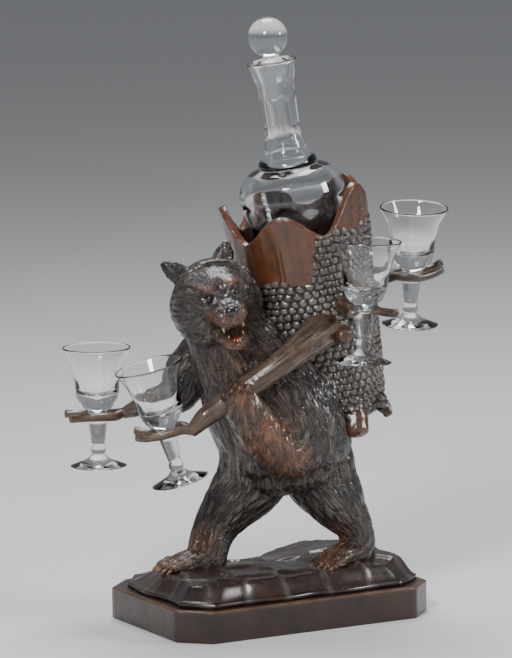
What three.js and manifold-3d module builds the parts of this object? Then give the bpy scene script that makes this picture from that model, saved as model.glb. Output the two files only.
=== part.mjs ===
// Carved wooden bear that carries a hollow tree trunk on its back as a decanter stand.
// Millimetres, +Z up. The origin is the centre of the plinth's underside, the plinth's long side
// runs along X, and the bear strides towards -X.
import * as THREE from 'three';
import { ParametricGeometry } from 'three/addons/geometries/ParametricGeometry.js';
import { mergeVertices } from 'three/addons/utils/BufferGeometryUtils.js';
import Module from 'manifold-3d';

const wasm = await Module();
wasm.setup();

// Driving dimensions
const FIT_GAP = 0.3;
const PLINTH = { length: 236, width: 162, thickness: 27, chamfer: 22.7 };
const GROUND = {
  inset: 6,
  edgeHeight: 4,
  height: 17,
  rightRise: 5,
  leftFall: 6,
  backFall: 3,
  frontBank: 16,
  backBank: 27,
  jointHeight: 1.6,
  jointWidth: 9,
};
const TRUNK = {
  rimCentre: [36.3, 7.9, 327.6],
  lean: [-0.155, 0, 0.988],
  rimRadius: 60,
  footRadius: 50,
  length: 172,
  wall: 7.5,
  socketDepth: 51.5,
  frontBearing: [-0.469, -0.883, 0],
};
const RIM_LOBES = { first: -13, peaks: [18, 33, 28, 25, 25], dip: -4 };
const DECANTER = { base: 0.6, wall: 3, bore: 9 };
const GOBLET = { height: 101, neck: 43.5, wall: 1.4 };
const PRONG = { radius: 3.7, gap: 10.1, reach: 25 };
const EYE_RADIUS = 3.1;

// Small vector helpers
const vec = (p) => new THREE.Vector3(...p);
const unit = (p) => vec(p).normalize();
const mix = (a, b, t) => a + (b - a) * t;
const smooth = (x) => {
  const t = Math.min(1, Math.max(0, x));
  return t * t * (3 - 2 * t);
};
const TURN = Math.PI * 2;
const degrees = (angle) => (angle * Math.PI) / 180;

// Turns a closed surface into a solid, with its faces outwards
function solidOf(geometry) {
  const bare = geometry.clone();
  bare.deleteAttribute('normal');
  bare.deleteAttribute('uv');
  const merged = mergeVertices(bare, 1e-4);
  const position = merged.attributes.position;
  const index = merged.index.array;
  const corner = (i) => new THREE.Vector3().fromBufferAttribute(position, i);
  const triangles = [];
  let sixVolumes = 0;
  for (let i = 0; i < index.length; i += 3) {
    const [a, b, c] = [index[i], index[i + 1], index[i + 2]];
    if (a === b || b === c || c === a) continue;
    triangles.push([a, b, c]);
    sixVolumes += corner(a).dot(corner(b).cross(corner(c)));
  }
  const facing = sixVolumes > 0 ? triangles : triangles.map(([a, b, c]) => [a, c, b]);
  return new wasm.Manifold(
    new wasm.Mesh({
      numProp: 3,
      vertProperties: new Float32Array(position.array),
      triVerts: new Uint32Array(facing.flat()),
    }),
  );
}

// Turns a solid back into a geometry
function geometryOf(solid) {
  const { vertProperties, triVerts } = solid.getMesh();
  const geometry = new THREE.BufferGeometry();
  geometry.setAttribute('position', new THREE.Float32BufferAttribute(vertProperties, 3));
  geometry.setIndex(new THREE.Uint32BufferAttribute(triVerts, 1));
  geometry.computeVertexNormals();
  return geometry;
}

const smoothCurve = (points) => new THREE.CatmullRomCurve3(points, false, 'catmullrom');
const union = (solids) => solids.reduce((all, next) => all.add(next));

// A rounded limb: oval sections carried along a smooth path, closed by domes.
// Each station is [x, y, z, half width along `across`, half depth at right angles to it].
// Locks are shallow grooves that wind round the limb, like combed tufts of fur.
function limb(shape, grow = 0) {
  const { stations, across, around = 12, along = 6, dome = 0.85, capRows = 2, locks } = shape;
  const centres = smoothCurve(stations.map((s) => vec(s.slice(0, 3))));
  const halves = smoothCurve(stations.map((s) => new THREE.Vector3(s[3], s[4], 0)));
  const rows = along + 2 * capRows;
  const surface = (u, v, target) => {
    const row = v * rows;
    const t = Math.min(1, Math.max(0, (row - capRows) / along));
    const nearEnd = Math.max(0, capRows - Math.min(row, rows - row)) / capRows;
    const size = Math.cos((nearEnd * Math.PI) / 2);
    const tangent = centres.getTangent(t);
    const side = vec(across).addScaledVector(tangent, -vec(across).dot(tangent)).normalize();
    const depth = tangent.clone().cross(side);
    const half = halves.getPoint(t);
    const angle = u * TURN;
    const wave = locks ? Math.cos(locks.count * angle + locks.sweep * t * TURN) : 0;
    const groove = locks ? 1 + locks.depth * size * wave : 1;
    const overhang = Math.sin((nearEnd * Math.PI) / 2) * dome * (Math.min(half.x, half.y) + grow);
    target.copy(centres.getPoint(t));
    target.addScaledVector(tangent, row < rows / 2 ? -overhang : overhang);
    target.addScaledVector(side, Math.cos(angle) * size * groove * (half.x + grow));
    target.addScaledVector(depth, Math.sin(angle) * size * groove * (half.y + grow));
  };
  return solidOf(new ParametricGeometry(surface, around, rows));
}

// A turned solid on an axis: radius and height pairs that start and end on the axis
function turned(profile, segments, foot, axis) {
  const points = profile.map(([radius, height]) => new THREE.Vector2(radius, height));
  const geometry = new THREE.LatheGeometry(points, segments);
  geometry.rotateX(Math.PI / 2);
  geometry.applyQuaternion(new THREE.Quaternion().setFromUnitVectors(new THREE.Vector3(0, 0, 1), unit(axis)));
  geometry.translate(...foot);
  return solidOf(geometry);
}

// Plinth: a slab with four cut corners
function plinth() {
  const { length, width, thickness, chamfer } = PLINTH;
  const [x, y] = [length / 2, width / 2];
  const corners = [
    [x - chamfer, -y], [x, -y + chamfer], [x, y - chamfer], [x - chamfer, y],
    [-x + chamfer, y], [-x, y - chamfer], [-x, -y + chamfer], [-x + chamfer, -y],
  ];
  const outline = new THREE.Shape(corners.map(([px, py]) => new THREE.Vector2(px, py)));
  return solidOf(new THREE.ExtrudeGeometry(outline, { depth: thickness, bevelEnabled: false }));
}

// Rocky ground: flagstones with raised joints, banked at the plinth's edge
const FLAGSTONES = [
  [-96, -46], [-70, -62], [-40, -60], [-2, -64], [36, -60], [72, -58], [98, -36],
  [-100, -8], [-72, -22], [-30, -24], [8, -22], [60, -20], [100, 6], [-104, 30],
  [-64, 30], [-24, 20], [22, 28], [66, 24], [96, 44], [-80, 62], [-36, 62], [8, 64], [52, 62],
];
const groundTop = (x, y) => {
  const { height, rightRise, leftFall, backFall } = GROUND;
  const towardsRight = smooth((x - 5) / 60);
  const towardsBack = smooth((y - 5) / 50);
  const risen = height + rightRise * towardsRight * smooth((y + 75) / 45);
  return risen - mix(leftFall, backFall, towardsRight) * towardsBack;
};

function jointRidge(x, y) {
  const distances = FLAGSTONES.map(([sx, sy]) => Math.hypot(x - sx, y - sy)).sort((a, b) => a - b);
  return GROUND.jointHeight * (1 - smooth((distances[1] - distances[0]) / GROUND.jointWidth));
}

function ground() {
  const { inset, edgeHeight, frontBank, backBank } = GROUND;
  const [halfX, halfY] = [PLINTH.length / 2 - inset, PLINTH.width / 2 - inset];
  const diagonal = halfX + halfY - PLINTH.chamfer;
  const [topRows, rows] = [7, 9];
  const bottom = PLINTH.thickness + FIT_GAP;
  const surface = (u, v, target) => {
    const [cos, sin] = [Math.cos(u * TURN), Math.sin(u * TURN)];
    const edge = Math.min(
      halfX / Math.abs(cos),
      halfY / Math.abs(sin),
      diagonal / (Math.abs(cos) + Math.abs(sin)),
    );
    const row = Math.round(v * rows);
    const ripple = 1 - 0.02 * (1 + Math.cos(u * TURN * 9 + 1));
    const underneath = 1 - Math.max(0, row - topRows - 1) / (rows - topRows - 1);
    const reach = row <= topRows ? Math.sqrt(row / topRows) : underneath;
    const radius = edge * ripple * reach;
    const [x, y] = [radius * cos, radius * sin];
    const bank = y > 0 ? backBank : frontBank;
    const climb = smooth((edge * ripple - radius) / bank);
    const banked = mix(edgeHeight, groundTop(x, y) + jointRidge(x, y), climb);
    target.set(x, y, row <= topRows ? bottom + banked : bottom);
  };
  return solidOf(new ParametricGeometry(surface, 28, rows));
}

// Bear: the head has a frame of its own, with stations given as [side, up, forward]
const HEAD = { centre: [-51, -11, 273], forward: unit([-0.22, -0.965, -0.13]), tilt: [0.93, -0.25, 0.27] };
HEAD.side = vec(HEAD.tilt).addScaledVector(HEAD.forward, -vec(HEAD.tilt).dot(HEAD.forward)).normalize();
HEAD.up = HEAD.forward.clone().cross(HEAD.side).normalize();

function inHead([side, up, forward]) {
  const place = vec(HEAD.centre).addScaledVector(HEAD.side, side);
  return place.addScaledVector(HEAD.up, up).addScaledVector(HEAD.forward, forward).toArray();
}
const headStation = ([side, up, forward, a, b]) => [...inHead([side, up, forward]), a, b];

const SHOULDER_AXIS = [0.73, -0.68, 0];
const EYES = { eye_left: [10.2, 12.3, 31.8], eye_right: [-11, 12.6, 31.8] };
const PICTURE_PLANE = [0.883, -0.469, 0];

const BODY = {
  torso: {
    stations: [
      [16, -8, 124, 46, 41], [14, -8, 136, 55, 46], [9, -9, 157, 56, 47], [-4, -7, 183, 54, 45],
      [-17, -1, 210, 46, 42], [-30, 1, 236, 38, 37], [-42, -3, 258, 33, 33],
    ],
    across: SHOULDER_AXIS, around: 16, along: 8, dome: 0.5, locks: { count: 6, depth: 0.025, sweep: 0.35 },
  },
  leftShoulder: {
    stations: [[12, -10, 206, 26, 26], [20, -22, 186, 33, 31], [18, -34, 164, 27, 26]],
    across: SHOULDER_AXIS, around: 10, along: 4, capRows: 1, locks: { count: 4, depth: 0.03, sweep: 0.3 },
  },
  leftUpperArm: {
    stations: [[18, -30, 180, 28, 26], [16, -38, 158, 25, 23], [4, -42, 140, 19, 18]],
    across: SHOULDER_AXIS, around: 10, along: 4, capRows: 1,
  },
  leftForearm: {
    stations: [
      [4, -42, 138, 17, 17], [-12, -45, 145, 19, 18], [-28, -47, 162, 20, 18], [-44, -47, 184, 17, 16],
      [-52, -46, 197, 16, 14],
    ],
    across: SHOULDER_AXIS, around: 12, along: 6, locks: { count: 4, depth: 0.06, sweep: 0.4 },
  },
  rightArm: {
    stations: [
      [-36, 20, 228, 24, 24], [-54, 32, 208, 20, 20], [-62, 36, 190, 17, 17], [-71, 40, 183, 14, 14],
      [-80, 45, 180, 13, 12],
    ],
    across: [0.47, 0.88, 0], around: 10, along: 5, capRows: 1, locks: { count: 3, depth: 0.05, sweep: 0.3 },
  },
  frontLeg: {
    stations: [
      [-4, 2, 134, 34, 32], [-12, 10, 112, 30, 29], [-29, 16, 91, 23, 25], [-41, 17, 75, 18.5, 20],
      [-48, 16, 60, 17, 18], [-50, 16, 50, 17, 18],
    ],
    across: PICTURE_PLANE, along: 5, capRows: 1, locks: { count: 4, depth: 0.035, sweep: 0.3 },
  },
  frontFoot: {
    stations: [[-43, 14, 50, 13, 10], [-56, 15, 50, 16, 11], [-72, 16.5, 48, 17, 9], [-80, 17.5, 46, 16, 7]],
    across: [0, 1, 0], along: 3, dome: 0.6,
  },
  rearLeg: {
    stations: [
      [36, -8, 138, 34, 33], [43, -16, 114, 31, 31], [55, -24, 91, 23, 25], [66, -29, 72, 15.5, 18],
      [68, -30, 58, 15, 17], [67, -30, 50, 15, 17],
    ],
    across: PICTURE_PLANE, along: 5, capRows: 1, locks: { count: 4, depth: 0.035, sweep: -0.3 },
  },
  rearFoot: {
    stations: [[74, -28, 52, 13, 9], [60, -34, 52, 15, 11], [44, -39, 51, 16, 9], [35, -42, 50, 15, 7]],
    across: [0.28, 0.96, 0], along: 3, dome: 0.6,
  },
  skull: {
    stations: [
      [0, 0, -24, 24, 24], [0, 0, -12, 34, 33], [-1, -3, 1, 39, 38], [-1, -1, 12, 36, 34],
      [0, 1, 22, 27, 26], [0, 0.5, 30, 18.5, 18], [0, -1, 37, 15, 13.5], [0, -1.5, 46, 14, 11],
      [0, -0.5, 52, 12, 8.5],
    ].map(headStation),
    across: HEAD.side.toArray(), around: 14, along: 10, dome: 0.4, locks: { count: 5, depth: 0.02, sweep: 0.1 },
  },
  lowerJaw: {
    stations: [
      [0, -20, 6, 21, 16], [1, -26, 22, 15, 9], [2, -29.5, 34, 11, 5.5], [2.5, -31, 41, 8, 4],
    ].map(headStation),
    across: HEAD.side.toArray(), around: 10, along: 3, dome: 0.7,
  },
  nose: {
    stations: [[0, 4, 50, 7.5, 5], [0, 4, 55, 7, 4.6]].map(headStation),
    across: HEAD.side.toArray(), around: 7, along: 1, dome: 0.6, capRows: 1,
  },
};

// The toes or fingers of a paw, side by side across its front
function digits({ knuckle, forward, spread, count, pitch, length, radius, drop }) {
  const ahead = unit(forward);
  return Array.from({ length: count }, (_, i) => {
    const offset = (i - (count - 1) / 2) * pitch;
    const lag = (Math.abs(offset) / pitch) * 1.6;
    const root = vec(knuckle).addScaledVector(unit(spread), offset).addScaledVector(ahead, -lag);
    const tip = root.clone().addScaledVector(ahead, length).add(new THREE.Vector3(0, 0, -drop));
    return limb({
      stations: [[...root.toArray(), radius, radius], [...tip.toArray(), radius * 0.85, radius * 0.8]],
      across: spread, around: 5, along: 1, dome: 0.9, capRows: 1,
    });
  });
}

const PAWS = [
  {
    knuckle: [-82, 17.5, 49], forward: [-1, 0.08, 0], spread: [0, 1, 0],
    count: 5, pitch: 6.4, length: 8, radius: 4.2, drop: 2.5,
  },
  {
    knuckle: [33, -43, 49], forward: [-0.96, -0.28, 0], spread: [-0.28, 0.96, 0],
    count: 5, pitch: 6, length: 8, radius: 4, drop: 2.5,
  },
  {
    knuckle: [-56, -55, 202], forward: [-0.35, -0.5, 0.75], spread: [0.78, -0.45, 0.3],
    count: 4, pitch: 7, length: 7, radius: 4, drop: 3,
  },
  {
    knuckle: [-80, 38, 189], forward: [-0.6, -0.7, 0.3], spread: [0.7, -0.65, 0],
    count: 4, pitch: 6, length: 7, radius: 3.8, drop: 6,
  },
];

const EARS = [
  { root: [15.5, 25, -12], tip: [24, 38, -14] },
  { root: [-19, 22, -10], tip: [-33, 39, -12] },
];

function ear({ root, tip }) {
  const between = (t, ahead) => root.map((value, i) => mix(value, tip[i], t) + (i === 2 ? ahead : 0));
  const shell = limb({
    stations: [
      [...between(0, 0), 9.5, 6], [...between(0.55, 0), 8, 4.5], [...between(1, 0), 3, 2],
    ].map(headStation),
    across: HEAD.side.toArray(), around: 8, along: 3, dome: 0.8,
  });
  const hollow = limb({
    stations: [[...between(0.3, 6.5), 5, 4], [...between(0.8, 5), 3, 3.5]].map(headStation),
    across: HEAD.side.toArray(), around: 7, along: 1, dome: 0.8, capRows: 1,
  });
  return shell.subtract(hollow);
}

const eyeball = (place, grow = 0) => {
  const geometry = new THREE.SphereGeometry(EYE_RADIUS + grow, 8, 6);
  geometry.translate(...inHead(place));
  return solidOf(geometry);
};

function bear(carried) {
  const masses = Object.values(BODY).map((shape) => limb(shape));
  const paws = PAWS.flatMap(digits);
  const ears = EARS.map(ear);
  const figure = union([ground(), ...masses, ...paws, ...ears]);
  const sockets = Object.values(EYES).map((place) => eyeball(place, FIT_GAP));
  const base = new THREE.BoxGeometry(400, 400, 100);
  base.translate(0, 0, PLINTH.thickness + FIT_GAP - 50);
  return [...carried, ...sockets, solidOf(base)].reduce((rest, cutter) => rest.subtract(cutter), figure);
}

// Trunk: a hollow log whose rim rises in five lobes, with cut stubs below
const TRUNK_UP = unit(TRUNK.lean);
const TRUNK_FRONT = vec(TRUNK.frontBearing).projectOnPlane(TRUNK_UP).normalize();
const TRUNK_RIGHT = TRUNK_UP.clone().cross(TRUNK_FRONT);

function onTrunk(angle, radius, height) {
  const place = vec(TRUNK.rimCentre).addScaledVector(TRUNK_UP, height);
  place.addScaledVector(TRUNK_FRONT, Math.cos(angle) * radius);
  return place.addScaledVector(TRUNK_RIGHT, Math.sin(angle) * radius);
}

// Height of the rim above the rim plane, from the bearing seen from the front
function rimHeight(angle) {
  const { first, peaks, dip } = RIM_LOBES;
  const lobes = peaks.length;
  const turns = ((angle - degrees(first)) / TURN + 2) * lobes;
  const peak = peaks[Math.round(turns) % lobes];
  const arch = 0.5 + 0.5 * Math.cos(turns * TURN);
  return dip + (peak - dip) * Math.pow(arch, 0.8);
}

function trunkShell(grow = 0) {
  const { rimRadius, footRadius, length, wall, socketDepth } = TRUNK;
  const [around, rows] = [25, 14];
  const surface = (u, v, target) => {
    const angle = u * TURN;
    const row = Math.round(v * rows);
    const rim = rimHeight(angle) + grow;
    const arch = smooth((rim + 4) / 30);
    const flare = 3 * arch;
    const outerAt = (fall) => mix(rimRadius, footRadius, Math.min(1, fall)) + grow;
    const outside = [
      [0, -length - grow], [footRadius * 0.6, -length - grow], [footRadius * 0.9 + grow, -length + 6 - grow],
      [outerAt(0.93), -length + 20], [outerAt(0.6), -0.6 * length], [outerAt(0.28), -0.28 * length],
      [outerAt(0.08), -0.08 * length], [outerAt(0) + flare * 0.5, rim * 0.45],
      [outerAt(0) + flare, rim - 2],
    ];
    const inside = [
      [rimRadius - wall * 0.75 + flare, rim], [rimRadius - wall, rim * 0.45 - 4],
      [rimRadius - wall - 1, -socketDepth * 0.5], [rimRadius - wall - 2.5, -socketDepth + 2],
      [rimRadius - wall - 5, -socketDepth], [0, -socketDepth],
    ];
    const filled = [
      [rimRadius - wall * 0.75 + flare, rim + grow], [30, rim], [15, rim], [8, rim], [4, rim], [0, 20],
    ];
    const [radius, height] = [...outside, ...(grow > 0 ? filled : inside)][row];
    target.copy(onTrunk(angle, radius, height));
  };
  return solidOf(new ParametricGeometry(surface, around, rows));
}

const STUBS = {
  gutter: [[66, -20, 192, 14, 13], [62, -38, 174, 11.5, 10.5], [59, -50, 156, 9.5, 8.5]],
  twig: [[82, -22, 188, 9, 8], [92, -34, 174, 6, 5], [95, -39, 166, 4, 3.5]],
  knob: [[46, -36, 239, 11, 10], [43, -56, 240, 7.5, 7], [42, -63, 240, 6, 6]],
};
const STUB_SHAPE = { across: PICTURE_PLANE, around: 8, along: 3, dome: 0.35, capRows: 1 };

const stubs = (grow) => Object.values(STUBS).map((stations) => limb({ ...STUB_SHAPE, stations }, grow));

// Limbs and forks: twigs let into the trunk, each ending in two prongs for a glass
const GOBLETS = {
  goblet_back_left: { foot: [-121.8, 70.4, 127.3], rim: [-121.5, 70.3, 230.5] },
  goblet_front_left: { foot: [-91.3, -19.4, 125.4], rim: [-115.7, -13.2, 223.9] },
  goblet_front_right: { foot: [42.3, -90.4, 221.6], rim: [46.6, -92.7, 320.1] },
  goblet_right: { foot: [120.1, -32.2, 238.9], rim: [119.4, -43.1, 336.3] },
};
const gobletAxis = (name) => vec(GOBLETS[name].rim).sub(vec(GOBLETS[name].foot)).normalize();

const FORKS = {
  back_left_limb: {
    goblet: 'goblet_back_left', out: [-0.95, 0.3, 0], splay: 3, rise: 0,
    stations: [
      [-101, 62, 172, 5.5, 5], [-90, 54, 177, 8, 7.5], [-72, 44, 183, 8, 8], [-36, 52, 196, 9, 9],
      [0, 50, 213, 11, 11], [20, 40, 225, 14, 13], [32, 32, 231, 15, 14],
    ],
  },
  front_left_limb: {
    goblet: 'goblet_front_left', out: [-0.9, 0.42, -0.2], splay: 3, rise: 5,
    stations: [
      [-84, -27, 168, 6, 5.5], [-72, -34, 181, 9, 8.5], [-52, -45, 197, 9.5, 9], [-22, -57, 218, 10, 10],
      [5, -56, 234, 12, 12], [27, -44, 242, 16, 15], [37, -35, 245, 15, 15],
    ],
  },
  front_right_fork: {
    goblet: 'goblet_front_right', out: [-0.2, -0.98, 0], splay: 9, rise: 1,
    stations: [[47, -71, 263, 6.5, 5], [48, -60, 263, 8, 6.5], [49, -50, 264, 9, 8]],
  },
  right_fork: {
    goblet: 'goblet_right', out: [0.883, -0.469, 0], splay: 1, rise: 8,
    stations: [[101, -28, 279, 6.5, 5.5], [92, -22, 279, 9, 7], [84, -17, 279, 12, 9]],
  },
};

function fork({ goblet, out, splay, rise, stations }, grow = 0) {
  const axis = gobletAxis(goblet);
  const neck = vec(GOBLETS[goblet].foot).addScaledVector(axis, GOBLET.neck);
  const ahead = vec(out).addScaledVector(axis, -vec(out).dot(axis)).normalize();
  const beside = axis.clone().cross(ahead);
  const at = (forward, side, lift) => {
    const place = neck.clone().addScaledVector(ahead, forward);
    return place.addScaledVector(beside, side).addScaledVector(axis, lift).toArray();
  };
  const { radius, gap, reach } = PRONG;
  const root = stations[0];
  const prongs = [-1, 1].map((side) => {
    const stationsOfProng = [
      [...root.slice(0, 3), radius * 1.1, radius * 1.1],
      [...at(-13, side * (gap - 2.5), -0.5), radius * 1.1, radius],
      [...at(-4, side * gap, 0), radius, radius],
      [...at(6, side * gap, 0), radius, radius],
      [...at(reach * 0.7, side * (gap + splay * 0.5), rise * 0.4), radius * 0.95, radius * 0.95],
      [...at(reach, side * (gap + splay), rise), radius * 0.9, radius * 0.9],
    ];
    const shape = { stations: stationsOfProng, around: 6, along: 4, dome: 0.3, capRows: 1 };
    return limb({ ...shape, across: beside.toArray() }, grow);
  });
  const stemShape = { stations, around: 8, along: 5, dome: 0.5, capRows: 1 };
  const stem = limb({ ...stemShape, across: beside.toArray() }, grow);
  return union([stem, ...prongs]);
}

// Glassware
const gobletProfile = [
  [0, 0], [23.7, 0.8], [9.2, 6.5], [9, 11], [5.6, 16], [8.1, 38.5], [5, 41.6], [5, 44],
  [8.6, 47.6], [16.3, 58], [18.9, 76], [23, 91.5], [28.9, GOBLET.height],
  [28.9 - GOBLET.wall, GOBLET.height], [21.4, 91], [16.6, 74], [11, 60.5], [0, 59.2],
];

const decanterProfile = [
  [0, 2.5], [28, 0], [33, 2], [36, 41], [43.6, 68], [44.6, 76], [41.8, 90], [35, 97],
  [23.5, 99.8], [24.3, 104], [17.5, 114.5], [14.3, 128], [15.6, 171], [20.8, 187.4], [19.5, 188.6],
  [13, 188.6], [DECANTER.bore + 0.6, 172], [DECANTER.bore, 124],
  [14.5, 108.5], [30, 94.5], [38.5, 89], [41.4, 76], [33, 42], [30, 9], [0, 7.5],
];

const stopperProfile = () => {
  const [radius, centre, waist] = [16.6, 209, 6.5];
  const foot = [[0, 158], [8.4, 158], [9.2, 172], [11.6, 186], [11, 189], [waist, 190.6], [waist, 193.2]];
  const steps = 7;
  const start = Math.asin(waist / radius);
  const ball = Array.from({ length: steps + 1 }, (_, i) => {
    const angle = mix(start, Math.PI, i / steps);
    return [radius * Math.sin(angle), centre - radius * Math.cos(angle)];
  });
  ball[steps][0] = 0;
  return [...foot, ...ball.slice(1)];
};

const decanterFoot = onTrunk(0, 0, -TRUNK.socketDepth + DECANTER.base).toArray();

// Materials
function finish(color, roughness, extra = {}) {
  return new THREE.MeshStandardMaterial({ color, roughness, metalness: 0, ...extra });
}
const clearGlass = { transparent: true, opacity: 0.35 };

const part = new THREE.Group();
function place(name, solid, material) {
  const mesh = new THREE.Mesh(geometryOf(solid), material);
  mesh.name = name;
  part.add(mesh);
}

const forkSolids = (grow) => Object.values(FORKS).map((shape) => fork(shape, grow));
const trunkWithStubs = (grow) => union([trunkShell(grow), ...stubs(grow)]);

place('plinth', plinth(), finish(0x2b1710, 0.45));
place('bear', bear([trunkWithStubs(FIT_GAP), ...forkSolids(FIT_GAP)]), finish(0x3a2c25, 0.5));
Object.entries(EYES).forEach(([name, at]) => place(name, eyeball(at), finish(0x0d0b0a, 0.08)));
const trunk = forkSolids(FIT_GAP).reduce((rest, cutter) => rest.subtract(cutter), trunkWithStubs(0));
place('trunk', trunk, finish(0x4a372b, 0.55));
Object.entries(FORKS).forEach(([name, shape]) => place(name, fork(shape), finish(0x3d3029, 0.5)));
place('decanter', turned(decanterProfile, 16, decanterFoot, TRUNK.lean), finish(0xe8eef2, 0.03, clearGlass));
place('stopper', turned(stopperProfile(), 12, decanterFoot, TRUNK.lean), finish(0xe8eef2, 0.03, clearGlass));
for (const [name, { foot }] of Object.entries(GOBLETS)) {
  place(name, turned(gobletProfile, 12, foot, gobletAxis(name).toArray()), finish(0xe8eef2, 0.03, clearGlass));
}

export default part;
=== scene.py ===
"""Carved bear decanter stand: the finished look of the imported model.

Shapes are worked out in millimetres with numpy and put into meshes in metres.
"""

import itertools
import logging
import math
from dataclasses import dataclass, field
from enum import Enum

import bpy
import numpy as np
from mathutils import Matrix, Vector

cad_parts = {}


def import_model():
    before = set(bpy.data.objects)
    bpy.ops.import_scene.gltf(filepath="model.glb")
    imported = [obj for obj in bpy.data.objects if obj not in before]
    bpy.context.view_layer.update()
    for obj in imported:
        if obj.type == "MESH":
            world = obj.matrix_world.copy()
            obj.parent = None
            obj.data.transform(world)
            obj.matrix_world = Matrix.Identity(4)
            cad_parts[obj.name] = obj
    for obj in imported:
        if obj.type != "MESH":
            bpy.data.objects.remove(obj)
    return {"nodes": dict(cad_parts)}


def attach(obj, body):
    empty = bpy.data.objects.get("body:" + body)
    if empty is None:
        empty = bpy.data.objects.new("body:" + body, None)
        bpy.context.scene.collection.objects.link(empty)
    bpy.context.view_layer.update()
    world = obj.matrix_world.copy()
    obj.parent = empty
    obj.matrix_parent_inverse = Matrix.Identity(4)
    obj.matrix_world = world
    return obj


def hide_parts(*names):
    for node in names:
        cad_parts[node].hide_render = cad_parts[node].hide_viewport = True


LOG = logging.getLogger("bear_stand")
MM = 0.001
TURN = 2 * math.pi
ROOT = "root"
Input = bpy.types.NodeSocket | float | tuple[float, ...]


def unit(vectors: np.ndarray) -> np.ndarray:
    """Scales each row to length one."""
    vectors = np.asarray(vectors, dtype=float)
    return vectors / np.maximum(np.linalg.norm(vectors, axis=-1, keepdims=True), 1e-12)


def smooth(x: np.ndarray) -> np.ndarray:
    """Eases 0 to 1 with flat ends: three x squared less two x cubed."""
    t = np.clip(x, 0.0, 1.0)
    return t * t * (3 - 2 * t)


def mix(a: np.ndarray, b: np.ndarray, t: np.ndarray) -> np.ndarray:
    """The value t of the way from a to b."""
    return a + (b - a) * t


def bump(x: np.ndarray, width: float) -> np.ndarray:
    """A bell of height one: e to the minus (x over width) squared."""
    return np.exp(-((x / width) ** 2))


def scatter(cells: np.ndarray, seed: int) -> np.ndarray:
    """A repeatable number from 0 to 1 for each integer cell.

    The whole-number coordinates are multiplied by large odd numbers, added, and folded by
    exclusive or.

    Args:
        cells: Integer coordinates, one row for each cell.
        seed: Chooses another set of numbers.

    Returns:
        One number for each row.
    """
    low_word = 0xFFFFFFFF
    factors = np.array([374761393, 668265263, 2246822519], dtype=np.int64)
    mixed = ((cells.astype(np.int64) * factors[: cells.shape[1]]).sum(axis=1) + seed * 1274126177) & low_word
    mixed = ((mixed ^ (mixed >> 13)) * 1274126177) & low_word
    return ((mixed ^ (mixed >> 16)) & 0xFFFF) / 65535.0


def noise(points: np.ndarray, cell: float | np.ndarray, seed: int) -> np.ndarray:
    """Smooth noise from -1 to 1: random lattice values blended by an eased weight along each axis.

    Args:
        points: Places, one row each.
        cell: Spacing of the lattice.
        seed: Chooses another noise.

    Returns:
        One value for each place.
    """
    scaled = points / cell
    low = np.floor(scaled).astype(np.int64)
    ease = smooth(scaled - low)
    total = np.zeros(len(points))
    for corner in itertools.product((0, 1), repeat=points.shape[1]):
        weight = np.prod(np.where(corner, ease, 1 - ease), axis=1)
        total += weight * scatter(low + np.array(corner), seed)
    return total * 2 - 1


def curve(points: np.ndarray, t: np.ndarray) -> np.ndarray:
    """Uniform Catmull-Rom curve through the points, its ends carried on straight.

    Args:
        points: The points that the curve passes through, one row each.
        t: Where on the curve, from 0 to 1.

    Returns:
        One row for each t.
    """
    spans = len(points) - 1
    where = np.clip(t, 0, 1) * spans
    start = np.minimum(where.astype(int), spans - 1)
    f = (where - start)[:, None]
    padded = np.vstack([2 * points[0] - points[1], points, 2 * points[-1] - points[-2]])
    a, b, c, d = (padded[start + i] for i in range(4))
    square = (2 * a - 5 * b + 4 * c - d) * f**2
    cube = (-a + 3 * b - 3 * c + d) * f**3
    return 0.5 * (2 * b + (c - a) * f + square + cube)


@dataclass
class Shell:
    """A surface: points, and faces of four corners, the last one -1 on a triangle."""

    points: np.ndarray
    faces: np.ndarray

    def triangles(self) -> np.ndarray:
        """Every face as triangles, quads cut in two."""
        quads = self.faces[self.faces[:, 3] >= 0]
        return np.vstack([self.faces[:, :3], quads[:, [0, 2, 3]]])

    def outward(self) -> "Shell":
        """Turns every face over if the signed volume is negative."""
        a, b, c = (self.points[self.triangles()[:, i]] for i in range(3))
        if np.einsum("ij,ij->", a, np.cross(b, c)) < 0:
            flipped = self.faces[:, [3, 2, 1, 0]]
            is_triangle = self.faces[:, 3] < 0
            flipped[is_triangle] = self.faces[is_triangle][:, [2, 1, 0, 3]]
            return Shell(self.points, flipped)
        return self

    def normals(self) -> np.ndarray:
        """The area-weighted normal at each point."""
        corners = self.triangles()
        a, b, c = (self.points[corners[:, i]] for i in range(3))
        across = np.cross(b - a, c - a)
        count = len(self.points)
        total = np.zeros((count, 3))
        for i, axis in itertools.product(range(3), range(3)):
            total[:, axis] += np.bincount(corners[:, i], across[:, axis], count)
        return unit(total)


def joined(shells: list[Shell]) -> Shell:
    """All shells as one, their corners renumbered."""
    starts = np.cumsum([0] + [len(s.points) for s in shells[:-1]])
    faces = [np.where(s.faces < 0, -1, s.faces + start) for s, start in zip(shells, starts)]
    return Shell(np.vstack([s.points for s in shells]), np.vstack(faces))


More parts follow.
